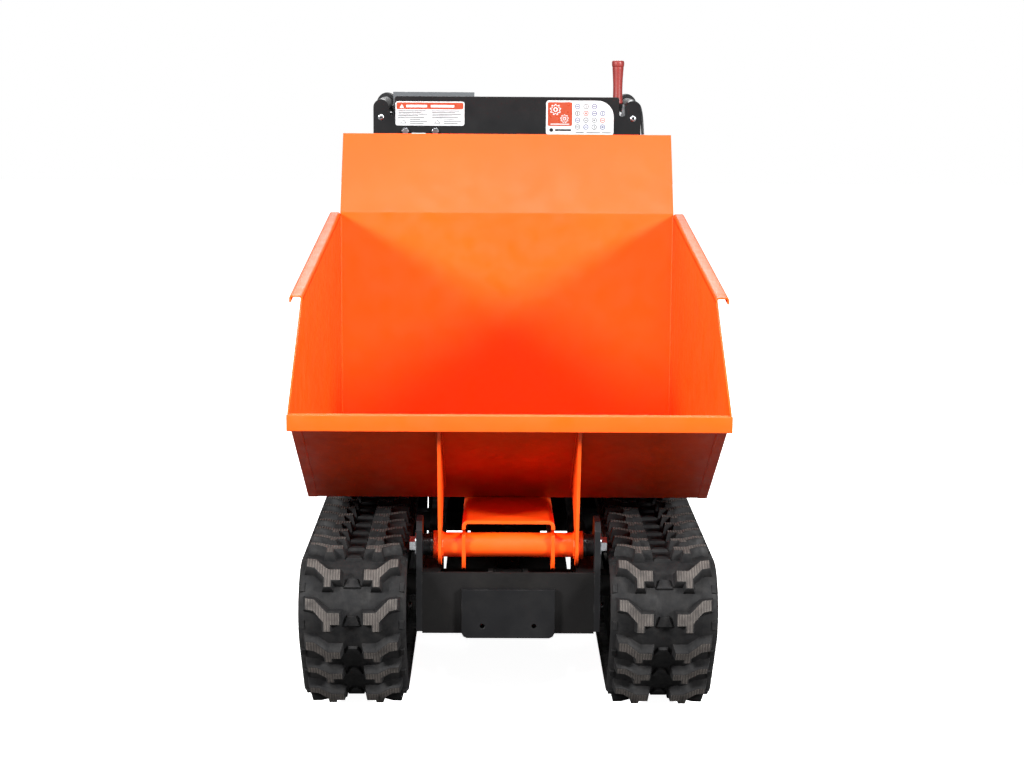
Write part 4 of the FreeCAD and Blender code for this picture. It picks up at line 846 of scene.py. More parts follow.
def add_lug(bm, middle_x, side, along):
    """One chevron lug with drafted flanks and a stepped, softly bellied top."""
    top = [Vector(p) for p in LUG_OUTLINE]
    foot = grown(top, LUG_DRAFT)
    levels = ((foot, CARCASS - 0.0035, 0), (foot, CARCASS + 0.0005, 0), (top, BELT - 0.0010, 0),
              (grown(top, -0.0010), BELT, 1))
    rings = []
    for outline, lift, _ in levels:
        ring = []
        for edge, down in outline:
            ring.append(bm.verts.new(belt_point(middle_x, side * (HALF_BELT - edge),
                                                along - LUG_LEAD + down, lift)))
        rings.append(ring)
    count = len(top)
    for first, second in zip(rings, rings[1:]):
        for i in range(count):
            j = (i + 1) % count
            corners = (first[i], first[j], second[j], second[i])
            bm.faces.new(corners if side < 0 else tuple(reversed(corners)))
    for corners in LUG_FACES:
        face = bm.faces.new([rings[-1][i] for i in (corners if side < 0 else reversed(corners))])
        face.material_index = 1
    base = bm.faces.new([rings[0][i] for i in (reversed(range(count)) if side < 0 else range(count))])
    return base


def add_pad(bm, middle_x, along, outline, low, high, draft):
    """A drafted block on the belt; its outline is (across, along) at the top."""
    top = [Vector(p) for p in outline]
    levels = ((grown(top, draft), low), (top, high))
    rings = []
    for ring, lift in levels:
        rings.append([bm.verts.new(belt_point(middle_x, u, along + s, lift)) for u, s in ring])
    bridge(bm, rings[0], rings[1])
    bm.faces.new(rings[1])
    bm.faces.new(list(reversed(rings[0])))


def make_belt(side, label):
    middle_x = side * TRACK_X
    bm = bmesh.new()
    add_carcass(bm, middle_x)
    bar = [(-0.0075, 0.004), (0.0075, 0.004), (0.0135, 0.019), (-0.0135, 0.019)]
    horn = [(0.016, -0.008), (0.024, -0.008), (0.024, 0.008), (0.016, 0.008)]
    rim = [(0.079, 0.034), (0.086, 0.034), (0.086, 0.048), (0.079, 0.048)]
    for link_number in range(LINKS):
        along = PITCH * link_number
        for way in (-1, 1):
            add_lug(bm, middle_x, way, along)
            add_pad(bm, middle_x, along + PITCH / 2, [(way * u, s) for u, s in horn], 0.001, -0.0078, 0.002)
            add_pad(bm, middle_x, along - LUG_LEAD, [(way * u, s) for u, s in rim], CARCASS - 0.006,
                    CARCASS - 0.0005, 0.0015)
        add_pad(bm, middle_x, along, bar, CARCASS - 0.005, CARCASS + 0.0018, 0.0022)
    piece = to_object("rubber_track_" + label, bm, [RUBBER, TREAD])
    soften(piece, 0.0008, 2, 38)
    return settle(piece, "chassis", "track_rubber", "track_belt_" + label)


# ---------------------------------------------------------------- wheels inside the tracks
def make_idler(side, label):
    """Cast front wheel: rim, dished web with ribs, and a long hub."""
    middle = (IDLER.y, IDLER.z)
    x0 = side * TRACK_X
    rim, web, hub, length = IDLER_R - 0.0002, 0.0052, 0.021, 0.0296
    half = [(web, 0.032), (web, 0.060), (web + 0.003, 0.0635), (0.0098, 0.0645), (0.011, 0.0655),
            (0.011, rim - 0.0015), (0.0095, rim)]
    hub_half = [(length, 0.0105), (length, hub - 0.0015), (length - 0.0015, hub),
                (web + 0.004, hub + 0.003), (web, 0.030)]
    right = hub_half + half
    profile = right + [(-x, r) for x, r in reversed(right)]
    bm = bmesh.new()
    add_lathe(bm, shifted(x0, profile), middle, "X", 72, closed=True)
    for turn in range(6):
        a = 2 * math.pi * turn / 6
        for face in (-1, 1):
            add_prism(bm, spoke(middle, a, (0.022, 0.004), (0.066, 0.0025)), x0 + face * 0.004,
                      x0 + face * 0.0092)
    fit("front_idler_" + label, bm, [IRON], 0.0006, 40, "idler_" + label, "wheel_iron", "idler_" + label)


def make_roller(side, label, letter):
    node = "roller_" + label + "_" + letter
    spot_at = centre(node)
    x0 = side * TRACK_X
    tread = ROLLER_R - 0.0002
    half = [(0.0, 0.012), (0.020, 0.012), (0.028, 0.0145), (0.0315, 0.0185), (0.0322, tread - 0.0015),
            (0.0337, tread), (0.0605, tread), (0.062, tread - 0.0015), (0.062, 0.0195), (0.0595, 0.0185),
            (0.0595, 0.0135), (0.062, 0.0125), (0.062, 0.0082)]
    profile = half + [(-x, r) for x, r in reversed(half[1:])]
    bm = bmesh.new()
    add_lathe(bm, shifted(x0, profile), (spot_at.y, spot_at.z), "X", 56, closed=True)
    fit("track_" + node, bm, [IRON], 0, 38, node, "wheel_iron", node)


TEETH = 8


def make_sprocket(side, label):
    """Drive wheel: rounded teeth, bolted boss and the drive shaft."""
    node = "sprocket_" + label
    x0 = side * TRACK_X
    tip = SPROCKET_R - 0.0002
    root = tip - 0.014
    outline = []
    for i in range(TEETH):
        middle = 2 * math.pi * i / TEETH
        flank = [(root, -0.27), (root + 0.003, -0.215), (tip - 0.005, -0.16), (tip - 0.001, -0.12),
                 (tip, -0.07), (tip, 0.07), (tip - 0.001, 0.12), (tip - 0.005, 0.16), (root + 0.003, 0.215),
                 (root, 0.27)]
        for radius, turn in flank:
            outline.append((SPROCKET.y + radius * math.sin(middle + turn),
                            SPROCKET.z + radius * math.cos(middle + turn)))
    bm = bmesh.new()
    add_prism(bm, outline, x0 - 0.010, x0 + 0.010)
    boss = [(-0.024, 0.014), (-0.024, 0.0285), (-0.0225, 0.030), (0.0225, 0.030), (0.024, 0.0285),
            (0.024, 0.016)]
    add_lathe(bm, shifted(x0, boss), (SPROCKET.y, SPROCKET.z), "X", 48)
    inner, outer = box(node)[0].x, box(node)[1].x
    add_rod(bm, inner, outer, 0.015, 0.001, (SPROCKET.y, SPROCKET.z), "X", 40)
    for turn in range(6):
        a = 2 * math.pi * (turn + 0.5) / 6
        y, z = SPROCKET.y + 0.043 * math.cos(a), SPROCKET.z + 0.043 * math.sin(a)
        head = circle_points((y, z), 0.0065, 6)
        for face in (-1, 1):
            add_prism(bm, head, x0 + face * 0.0098, x0 + face * 0.0150)
    fit("drive_sprocket_" + label, bm, [IRON], 0.0007, 38, node, "wheel_iron", node)


# ---------------------------------------------------------------- chassis front
def make_front_plate():
    """Bolted plate with clipped lower corners and two plain holes."""
    low, high = box("front_plate")
    clip = 0.009
    corners = [(low.x, high.z), (low.x, low.z + clip), (low.x + clip / 3, low.z + clip / 3),
               (low.x + clip, low.z), (high.x - clip, low.z), (high.x - clip / 3, low.z + clip / 3),
               (high.x, low.z + clip), (high.x, high.z)]
    bm = bmesh.new()
    add_prism(bm, corners, low.y, high.y, "Y")
    piece = to_object("front_weight_plate", bm, [PLATE_BLACK])
    cut_out(piece, [drill("Y", 0.00425, low.y - 0.01, high.y + 0.01, (x, DATUM_Z + 0.123))
                    for x in (-0.044, 0.044)])
    soften(piece, 0.0008, 2, 40)
    return settle(piece, "chassis", "black_paint", "front_plate")


# ---------------------------------------------------------------- console
CONSOLE_Y = box("console_panel")[0].y
CONSOLE_X = 0.248
CONSOLE_TOP = box("console_panel")[1].z
CONSOLE_LOW = box("console_panel")[0].z
EAR_X = box("console_panel")[1].x
EAR_R = 0.017
EAR_TOP = CONSOLE_TOP - 0.007
NOTCH_Z = CONSOLE_TOP - 0.042
HANDLE_X = centre("handlebars").x + 0.279
SCREW_Z = DATUM_Z + 0.945
BOLT_Z = DATUM_Z + 0.915
BOLT_XS = (-0.225, -0.159)
LEVER = Vector((0.249, centre("gear_lever").y, DATUM_Z + 0.890))
FOLD_DEPTH = 0.026


def console_outline():
    """Front view of the panel: notch and rounded ear at each side."""
    slot = 0.006
    ear = EAR_X - 2 * EAR_R
    half = [(0.0, CONSOLE_TOP), (CONSOLE_X - 0.004, CONSOLE_TOP), (CONSOLE_X - 0.001, CONSOLE_TOP - 0.001),
            (CONSOLE_X, CONSOLE_TOP - 0.004)]
    half += [(CONSOLE_X, NOTCH_Z + slot), (CONSOLE_X + 0.002, NOTCH_Z + 0.002), (CONSOLE_X + slot, NOTCH_Z),
             (ear - slot, NOTCH_Z), (ear - 0.0015, NOTCH_Z + 0.0018), (ear, NOTCH_Z + slot)]
    half += circle_points((EAR_X - EAR_R, EAR_TOP - EAR_R), EAR_R, 12, math.pi, -math.pi)
    half += [(EAR_X, CONSOLE_LOW + 0.010), (EAR_X - 0.003, CONSOLE_LOW + 0.003),
             (EAR_X - 0.010, CONSOLE_LOW), (0.0, CONSOLE_LOW)]
    return half + [(-x, z) for x, z in reversed(half[1:-1])]


def make_console():
    """Folded steel panel with its screw and bolt holes, top and bottom folds and two lever brackets."""
    back = CONSOLE_Y + SHEET
    bm = bmesh.new()
    add_prism(bm, console_outline(), CONSOLE_Y, back, "Y")
    piece = to_object("console", bm, [PLATE_BLACK])
    holes = [drill("Y", 0.0029, CONSOLE_Y - 0.01, back + 0.01, (x, SCREW_Z)) for x in (-HANDLE_X, HANDLE_X)]
    holes += [drill("Y", 0.0044, CONSOLE_Y - 0.01, back + 0.01, (x, BOLT_Z)) for x in BOLT_XS]
    cut_out(piece, holes)
    folds = bmesh.new()
    folds.from_mesh(piece.data)
    for edge_z, way in ((CONSOLE_TOP, 1), (CONSOLE_LOW, -1)):
        near, far = sorted((edge_z, edge_z - way * SHEET))
        reach = CONSOLE_X - 0.004
        add_box(folds, (-reach, back - 0.0006, near), (reach, CONSOLE_Y + FOLD_DEPTH, far))
    inner = abs(LEVER.x) - 0.014
    for side in (-1, 1):
        x0, x1 = sorted((side * inner, side * (inner + 0.004)))
        tab = [(back - 0.0005, LEVER.z - 0.016), (LEVER.y, LEVER.z - 0.016)]
        tab += circle_points((LEVER.y - 0.001, LEVER.z - 0.001), 0.015, 14, -math.pi / 2, math.pi)
        tab += [(back - 0.0005, LEVER.z + 0.014)]
        add_prism(folds, tab, x0, x1)
        pin = sorted((side * (inner + 0.004), side * (abs(LEVER.x) + 0.012)))
        add_rod(folds, pin[0], pin[1], 0.005, 0.0006, (LEVER.y, LEVER.z), "X", 24)
    bmesh.ops.recalc_face_normals(folds, faces=folds.faces)
    folds.to_mesh(piece.data)
    folds.free()
    soften(piece, 0.0007, 2, 38)
    return settle(piece, "chassis", "black_paint", "console_panel")


def rectangle(x0, x1, z0, z1):
    return [(x0, z0), (x1, z0), (x1, z1), (x0, z1)]


class Film:
    """Collects flat printed shapes of several inks into one label piece."""

    def __init__(self, name, inks):
        self.name, self.inks, self.bm = name, inks, bmesh.new()

    def add(self, outline, ink, layer=1):
        proud = 0.0004 + 0.00012 * layer
        add_prism(self.bm, outline, CONSOLE_Y - proud, CONSOLE_Y - 0.0001, "Y", self.inks.index(ink))

    def bar(self, x0, x1, z0, z1, ink, layer=1):
        self.add(rectangle(x0, x1, z0, z1), ink, layer)

    def finish(self):
        piece = soften(to_object(self.name, self.bm, self.inks), angle=30)
        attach(piece, "chassis")
        return piece


def make_warning_label():
    """Left label: red header bar with a triangle, grey bars and two plain pictograms below it."""
    film = Film("warning_label", [LABEL_WHITE, LABEL_RED, LABEL_GREY, LABEL_INK])
    x0, x1, z0, z1 = -0.247, -0.0945, DATUM_Z + 0.927, DATUM_Z + 0.980
    film.add(rounded_outline(rectangle(x0, x1, z0, z1), 0.005), LABEL_WHITE, 0)
    band = z1 - 0.017
    film.add(rounded_outline(rectangle(x0 + 0.0025, x1 - 0.0025, band, z1 - 0.0025), 0.003), LABEL_RED)
    sign = (x0 + 0.014, band + 0.0065)
    film.add([(sign[0] - 0.005, sign[1] - 0.004), (sign[0] + 0.005, sign[1] - 0.004),
              (sign[0], sign[1] + 0.005)], LABEL_WHITE, 2)
    for start, width in ((0.024, 0.046), (0.078, 0.052)):
        film.bar(x0 + start, x0 + start + width, band + 0.004, band + 0.0095, LABEL_WHITE, 2)
    for column in (0, 1):
        left = x0 + 0.006 + column * 0.075
        for row, share in enumerate((0.95, 0.8, 1.0, 0.7, 0.9)):
            z = band - 0.0045 - row * 0.0036
            film.bar(left, left + 0.064 * share, z, z + 0.0016, LABEL_GREY)
        low = z0 + 0.003
        film.bar(left, left + 0.022, low, low + 0.0125, LABEL_GREY)
        film.bar(left + 0.0006, left + 0.0214, low + 0.0006, low + 0.0119, LABEL_WHITE, 2)
        film.add([(left + 0.004, low + 0.002), (left + 0.0185, low + 0.002), (left + 0.012, low + 0.010)],
                 LABEL_INK, 3)
        film.add([(left + 0.0062, low + 0.003), (left + 0.0164, low + 0.003),
                  (left + 0.0118, low + 0.0085)], LABEL_WHITE, 4)
        for row, share in enumerate((0.8, 1.0, 0.6)):
            z = low + 0.001 + row * 0.0040
            film.bar(left + 0.026, left + 0.026 + 0.038 * share, z, z + 0.0016, LABEL_GREY)
    return film.finish()


def make_small_label():
    film = Film("small_label", [LABEL_WHITE, LABEL_GREY])
    x0, x1, z0, z1 = -0.212, -0.180, DATUM_Z + 0.895, DATUM_Z + 0.911
    film.add(rounded_outline(rectangle(x0, x1, z0, z1), 0.002), LABEL_WHITE, 0)
    for row in range(2):
        film.bar(x0 + 0.004, x1 - 0.004 - 0.008 * row, z0 + 0.003 + row * 0.006, z0 + 0.0055 + row * 0.006,
                 LABEL_GREY)
    return film.finish()


def add_gear_sign(film, middle, radius, ink, ground, layer):
    """Gear wheel pictogram."""
    teeth = 9
    outline = []
    for i in range(teeth):
        a = 2 * math.pi * i / teeth
        for r, turn in ((radius * 0.78, -0.22), (radius, -0.12), (radius, 0.12), (radius * 0.78, 0.22)):
            outline.append((middle[0] + r * math.sin(a + turn), middle[1] + r * math.cos(a + turn)))
    film.add(outline, ink, layer)
    inner = [(middle[0] + (x - middle[0]) * 0.80, middle[1] + (z - middle[1]) * 0.80) for x, z in outline]
    film.add(inner, ground, layer + 1)
    film.add(circle_points(middle, radius * 0.40, 20), ink, layer + 2)
    film.add(circle_points(middle, radius * 0.22, 20), ground, layer + 3)


def make_control_label():
    """Right label: large rounded corner, red square with gears, and a grid of coloured pictograms."""
    film = Film("control_label", [LABEL_WHITE, LABEL_RED, LABEL_GREY, LABEL_INK, LABEL_BLUE])
    x0, x1, z0, z1 = 0.086, 0.236, DATUM_Z + 0.908, DATUM_Z + 0.984
    big, small = 0.036, 0.007
    middle = ((x0 + x1) / 2, z0)
    route = [Vector(p) for p in (middle, (x1, z0), (x1, z1), (x0, z1), (x0, z0), middle)]
    film.add(rounded_path(route, [small, big, small, small], 10)[:-1], LABEL_WHITE, 0)
    square = (x0 + 0.004, x0 + 0.058, z1 - 0.056, z1 - 0.004)
    film.add(rounded_outline(rectangle(*square), 0.003), LABEL_RED)
    for dx, dz, radius in ((0.017, -0.016, 0.0125), (0.037, -0.036, 0.0095)):
        gear = (square[0] + dx, square[3] + dz)
        add_gear_sign(film, gear, radius, LABEL_WHITE, LABEL_RED, 2)
    film.bar(square[0] + 0.006, square[1] - 0.006, square[2] + 0.003, square[2] + 0.0050, LABEL_WHITE, 2)
    film.add(circle_points((square[0] + 0.008, z0 + 0.011), 0.0042, 20), LABEL_INK)
    film.bar(square[0] + 0.016, square[1] - 0.002, z0 + 0.009, z0 + 0.013, LABEL_INK)
    inks = [LABEL_BLUE, LABEL_GREY, LABEL_BLUE, LABEL_GREY, LABEL_GREY, LABEL_RED, LABEL_BLUE, LABEL_BLUE,
            LABEL_BLUE, LABEL_GREY, LABEL_GREY, LABEL_RED, LABEL_GREY, LABEL_BLUE, LABEL_GREY, LABEL_BLUE]
    for row in range(4):
        for column in range(4):
            spot_at = (x0 + 0.070 + 0.0185 * column, z1 - 0.013 - 0.0150 * row)
            if column == 3 and row == 0:
                continue
            ink = inks[row * 4 + column]
            film.add(circle_points(spot_at, 0.0058, 22), ink)
            film.add(circle_points(spot_at, 0.0043, 22), LABEL_WHITE, 2)
            bar = RNG.choice(((0.0030, 0.0009), (0.0009, 0.0030), (0.0021, 0.0018)))
            film.bar(spot_at[0] - bar[0], spot_at[0] + bar[0], spot_at[1] - bar[1], spot_at[1] + bar[1],
                     ink, 3)
    for start, width in ((0.066, 0.018), (0.090, 0.030), (0.124, 0.020)):
        film.bar(x0 + start, x0 + start + width, z0 + 0.0045, z0 + 0.0065, LABEL_GREY)
    return film.finish()


def make_screws():
    """Button-head screws with hexagon sockets at the ears, and two hexagon bolts under the label."""
    bm = bmesh.new()
    for x in (-HANDLE_X, HANDLE_X):
        dome = [(0, 0.0071), (-0.0012, 0.0070), (-0.0024, 0.0058), (-0.003, 0.0042), (-0.003, 0.0030),
                (-0.0012, 0.0027)]
        add_lathe(bm, shifted(CONSOLE_Y, dome), (x, SCREW_Z), "Y", 32)
        socket = [(-0.0011, 0.0026), (-0.0013, 0.0026)]
        add_lathe(bm, shifted(CONSOLE_Y, socket), (x, SCREW_Z), "Y", 6, 1)
        add_rod(bm, CONSOLE_Y - 0.0005, CONSOLE_Y + SHEET, 0.003, 0.0003, (x, SCREW_Z), "Y", 20)
    for x in BOLT_XS:
        for near, far in ((CONSOLE_Y, CONSOLE_Y - 0.0062), (CONSOLE_Y + SHEET, CONSOLE_Y + SHEET + 0.0068)):
            add_prism(bm, circle_points((x, BOLT_Z), 0.0083, 6), near, far, "Y")
        add_rod(bm, CONSOLE_Y - 0.0068, CONSOLE_Y - 0.004, 0.0068, 0.0006, (x, BOLT_Z), "Y", 28)
        add_rod(bm, CONSOLE_Y - 0.001, CONSOLE_Y + SHEET + 0.0069, 0.0042, 0.0004, (x, BOLT_Z), "Y", 20)
    fit("console_fasteners", bm, [ZINC, BLACK], 0.0004, 35, "chassis", "bright_zinc", "console_screws")


# ---------------------------------------------------------------- grips and levers
HANDLE_Z = centre("handle_grips").z
GRIP_FRONT = box("handle_grips")[0].y
GRIP_END = box("handle_grips")[1].y
GRIP_R = 0.018


def make_grips():
    """Moulded grips: collar, finger waves and narrow rings, closed at the end."""
    bm = bmesh.new()
    for side in (-1, 1):
        profile = shifted(GRIP_FRONT, [(0, 0.0150), (0, 0.0215), (0.0015, 0.0230), (0.0045, 0.0230),
                                       (0.006, 0.0215), (0.0075, 0.0180)])
        count = 44
        start, end = GRIP_FRONT + 0.010, GRIP_END - 0.012
        for i in range(count + 1):
            at = start + (end - start) * i / count
            wave = 0.0012 * (0.5 - 0.5 * math.cos(2 * math.pi * 4 * i / count))
            ring = 0.0006 if i % 2 else 0.0
            profile.append((at, GRIP_R - wave - ring))
        profile += shifted(GRIP_END, [(-0.008, GRIP_R), (-0.002, GRIP_R - 0.001), (0, GRIP_R - 0.004),
                                      (0, 0.003)])
        add_lathe(bm, profile, (side * HANDLE_X, HANDLE_Z), "Y", 40)
    fit("hand_grips", bm, [GRIP_RUBBER], 0, 45, "chassis", "grip_rubber", "handle_grips")


def make_red_grip():
    """Lever grip: waisted moulding with a collar and a flat cap."""
    low, high = box("gear_lever_grip")
    middle = (centre("gear_lever_grip").x, centre("gear_lever_grip").y)
    profile = shifted(low.z, [(0, 0.0055), (0, 0.0108), (0.0015, 0.0120), (0.004, 0.0122), (0.006, 0.0112),
                              (0.012, 0.0107), (0.030, 0.0104), (0.048, 0.0107), (0.064, 0.0116),
                              (0.076, 0.0124)])
    profile += shifted(high.z, [(-0.0165, 0.0127), (-0.0145, 0.0124), (-0.013, 0.0132), (-0.011, 0.0139),
                                (-0.004, 0.0140), (-0.0015, 0.0132), (0, 0.0112), (0, 0.0030)])
    bm = bmesh.new()
    add_lathe(bm, profile, middle, "Z", 48)
    piece = soften(to_object("red_lever_grip", bm, [RED_PLASTIC]), angle=50)
    piece.modifiers.new("round", "SUBSURF").levels = 1
    return settle(piece, "gear_lever", "red_grip", "gear_lever_grip")


PIN_DROP = 0.028             # squeeze lever's pin below the middle of its handle
BLADE_SECTION = [(-1, 0.0), (-0.85, 0.0018), (0, 0.0026), (0.85, 0.0018), (1, 0.0), (0.96, -0.0022),
                 (0.80, -0.0006), (0, 0.0004), (-0.80, -0.0006), (-0.96, -0.0022)]


def make_blade_lever(name, node, body, side, turn):
    """Pressed lever: a dished blade that tapers from two cheeks round the pin, turned about the handle."""
    pin_y, pin_z = box("lever_perches")[0].y + 0.010, -PIN_DROP
    root_y, tip_y = pin_y + 0.014, box(node)[1].y - 0.002
    bm = bmesh.new()
    count = 14
    rings = []
    for i in range(count + 1):
        share = i / count
        y = root_y + (tip_y - root_y) * share
        z = pin_z - (0.0115 + 0.0255 * share - 0.004 * math.sin(math.pi * share))
        half = 0.0125 - 0.003 * share + 0.002 * (share > 0.93)
        rings.append([bm.verts.new((u * half, y, z - dip)) for u, dip in BLADE_SECTION])
    for first, second in zip(rings, rings[1:]):
        bridge(bm, first, second)
    bm.faces.new(rings[0])
    bm.faces.new(list(reversed(rings[-1])))
    corners = ((-0.006, 0.0048), (0.0045, 0.0048), (0.022, -0.0095), (0.016, -0.0145), (-0.004, -0.0085),
               (-0.0075, -0.004))
    cheek = [(pin_y + y, pin_z + z) for y, z in corners]
    for face in (-1, 1):
        x0, x1 = sorted((face * 0.0091, face * 0.0128))
        add_prism(bm, cheek, x0, x1)
    place = Matrix.Translation((side * HANDLE_X, 0, HANDLE_Z)) @ Matrix.Rotation(turn, 4, "Y")
    bmesh.ops.transform(bm, matrix=place, verts=bm.verts)
    fit(name, bm, [BLACK], 0.0006, 36, body, "black_paint", node)


# ---------------------------------------------------------------- engine
DECK_TOP = box("engine_deck")[1].z
CRANK_Y, CRANK_Z = centre("crank_pulley").y, centre("crank_pulley").z
DRUM_R = 0.104               # starter cover


def make_recoil_cover():
    """Pressed starter cover: rounded drum, louvred cone face and a screwed rim."""
    low, high = box("recoil_cover")
    middle = (CRANK_Y, CRANK_Z)
    edge = low.x + 0.054
    profile = shifted(low.x, [(0, DRUM_R - 0.006), (0, DRUM_R), (0.003, DRUM_R), (0.003, DRUM_R - 0.004)])
    profile += shifted(edge, [(-0.010, DRUM_R - 0.004), (-0.003, DRUM_R - 0.007), (0, DRUM_R - 0.013),
                              (0.0015, 0.084)])
    profile += shifted(high.x, [(-0.008, 0.074), (-0.003, 0.070), (0, 0.063), (0, 0.058), (-0.004, 0.054),
                                (-0.006, 0.026), (-0.002, 0.021), (-0.001, 0.002)])
    bm = bmesh.new()
    add_lathe(bm, profile, middle, "X", 96)
    piece = to_object("starter_cover", bm, [RED_ENAMEL])
    cutters = []
    slots = 16
    for i in range(slots):
        a = 2 * math.pi * i / slots
        cutter = bmesh.new()
        add_prism(cutter, spoke(middle, a, (0.031, 0.0022), (0.051, 0.0038)), high.x - 0.016, high.x + 0.01)
        cutters.append(to_object("cutter", cutter, []))
    room = bmesh.new()
    add_box(room, (low.x - 0.01, middle[0] - 0.093, middle[1] - 0.12),
            (low.x + 0.009, middle[0] + 0.093, DECK_TOP + 0.0145))
    cutters.append(to_object("cutter", room, []))
    cut_out(piece, cutters)
    extra = bmesh.new()
    extra.from_mesh(piece.data)
    duct = rounded_outline([(middle[0] - 0.030, middle[1] + 0.06), (middle[0] + 0.096, middle[1] + 0.03),
                            (middle[0] + 0.096, middle[1] + 0.150), (middle[0] - 0.030, middle[1] + 0.150)],
                           0.016, 6)
    add_prism(extra, duct, low.x, low.x + 0.042)
    for i in range(4):
        a = math.radians(45 + 90 * i)
        y, z = middle[0] + (DRUM_R - 0.016) * math.cos(a), middle[1] + (DRUM_R - 0.016) * math.sin(a)
        add_rod(extra, edge - 0.004, edge + 0.0035, 0.0068, 0.001, (y, z), "X", 24, 1)
        add_prism(extra, circle_points((y, z), 0.0045, 6), edge + 0.003, edge + 0.0070, "X", 1)
    bmesh.ops.recalc_face_normals(extra, faces=extra.faces)
    extra.to_mesh(piece.data)
    extra.free()
    piece.data.materials.append(ZINC)
    soften(piece, 0.0008, 2, 36)
    return settle(piece, "chassis", "red_cover", "recoil_cover")


def rounded_block(bm, low, high, radius, steps):
    """A box with large round edges all over, as a stack of rounded outlines."""
    levels = []
    for i in range(steps + 1):
        a = math.pi / 2 * i / steps
        levels.append((low[2] + radius * (1 - math.cos(a)), radius * (1 - math.sin(a))))
    levels += [(low[2] + high[2] - z, inset) for z, inset in reversed(levels)]
    rings = []
    for z, inset in levels:
        corner = max(radius - inset, 0.0008)
        sides = rectangle(low[0] + inset, high[0] - inset, low[1] + inset, high[1] - inset)
        outline = rounded_outline(sides, corner, steps)
        rings.append([bm.verts.new((x, y, z)) for x, y in outline])
    bm.faces.new(list(reversed(rings[0])))
    bm.faces.new(rings[-1])
    for first, second in zip(rings, rings[1:]):
        bridge(bm, first, second)


def make_tank():
    """Pressed steel tank: two deep-drawn halves, a rolled seam, a filler neck and two strap legs."""
    low, high = box("fuel_tank")
    cap = centre("fuel_cap")
    body_low = (low.x + 0.005, low.y + 0.005, high.z - 0.010 - 0.100)
    body_high = (high.x - 0.003, high.y - 0.003, high.z - 0.010)
    bm = bmesh.new()
    rounded_block(bm, body_low, body_high, 0.024, 7)
    seam_z = body_high[2] - 0.042
    seam = rounded_outline(rectangle(low.x, high.x, low.y, high.y), 0.026, 7)
    add_prism(bm, seam, seam_z, seam_z + 0.004, "Z")
    for lift, radius in ((0.0002, 0.031), (0.0025, 0.028)):
        add_rod(bm, body_high[2] - 0.003, body_high[2] + lift + 0.0015, radius, 0.001, (cap.x, cap.y), "Z",
                48)
    add_lathe(bm, [(body_high[2] - 0.002, 0.0222), (high.z, 0.0222), (high.z, 0.0155),
                   (high.z - 0.004, 0.0155)], (cap.x, cap.y), "Z", 40)
    for x0 in (-0.060, 0.020):
        add_box(bm, (x0, CRANK_Y - 0.049, low.z), (x0 + 0.006, CRANK_Y - 0.035, body_low[2] + 0.012))
    fit("petrol_tank", bm, [ENAMEL], 0.0006, 40, "chassis", "tank_paint", "fuel_tank")


def make_air_filter():
    """Filter housing: moulded lid with ribs, a clip, and the carburettor body beside it."""
    y0, y1, z0, z1 = CRANK_Y + 0.124, CRANK_Y + 0.206, DATUM_Z + 0.466, DATUM_Z + 0.570
    bm = bmesh.new()
    split = y0 + 0.034
    rounded_block(bm, (-0.060, y0, z0), (0.050, y1, z1), 0.016, 6)
    add_prism(bm, rounded_outline(rectangle(-0.060, 0.050, z0, z1), 0.016, 6), split, split + 0.003, "Y")
    for i in range(7):
        x = -0.047 + 0.014 * i
        add_prism(bm, rounded_outline(rectangle(x - 0.002, x + 0.002, z0 + 0.020, z1 - 0.020), 0.0018, 3),
                  y1 - 0.003, y1 - 0.0002, "Y")
    add_box(bm, (-0.026, CRANK_Y + 0.084, DATUM_Z + 0.474), (0.018, y0 + 0.004, DATUM_Z + 0.504), 1)
    add_rod(bm, -0.034, 0.028, 0.0085, 0.001, (CRANK_Y + 0.104, DATUM_Z + 0.489), "X", 28, 1)
    add_rod(bm, DATUM_Z + 0.472, DATUM_Z + 0.4745, 0.013, 0.001, (-0.004, CRANK_Y + 0.106), "Z", 28, 1)
    fit("filter_housing", bm, [PLASTIC, ALLOY], 0.0007, 40, "chassis", "black_plastic", "air_filter")


def make_muffler():
    """Silencer box with a seam, a perforated heat shield and its outlet pipe."""
    y0, y1, z0, z1 = CRANK_Y - 0.178, CRANK_Y - 0.104, DATUM_Z + 0.380, DATUM_Z + 0.470
    bm = bmesh.new()
    rounded_block(bm, (-0.060, y0 + 0.003, z0), (0.060, y1, z1), 0.018, 6)
    add_prism(bm, rounded_outline(rectangle(-0.060, 0.060, z0, z1), 0.018, 6), y0 + 0.036, y0 + 0.039, "Y")
    add_box(bm, (-0.020, y1 - 0.006, DATUM_Z + 0.392), (0.020, CRANK_Y - 0.092, DATUM_Z + 0.420))
    add_lathe(bm, [(-0.056, 0.011), (-0.083, 0.011), (-0.084, 0.0105), (-0.084, 0.0085), (-0.070, 0.0083),
                   (-0.0695, 0.002)], (CRANK_Y - 0.140, DATUM_Z + 0.430), "X", 32)
    piece = to_object("silencer", bm, [HOT_STEEL])
    shield = bmesh.new()
    add_prism(shield, rounded_outline(rectangle(-0.048, 0.048, z0 + 0.010, z1 - 0.010), 0.010, 5), y0,
              y0 + 0.0012, "Y")
    plate = to_object("heat_shield", shield, [STEEL])
    holes = []
    for row in range(5):
        for column in range(7):
            middle = (-0.036 + 0.012 * column, z0 + 0.021 + 0.012 * row)
            holes.append(drill("Y", 0.0034, y0 - 0.01, y0 + 0.01, middle, 14))
    joined = bmesh.new()
    for hole in holes:
        joined.from_mesh(hole.data)
    for hole in holes[1:]:
        bpy.data.objects.remove(hole)
    joined.to_mesh(holes[0].data)
    joined.free()
    cut_out(plate, holes[:1])
    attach(plate, "chassis")
    soften(plate, 0.0003, 1, 40)
    soften(piece, 0.0006, 2, 40)
    return settle(piece, "chassis", "muffler_steel", "muffler")


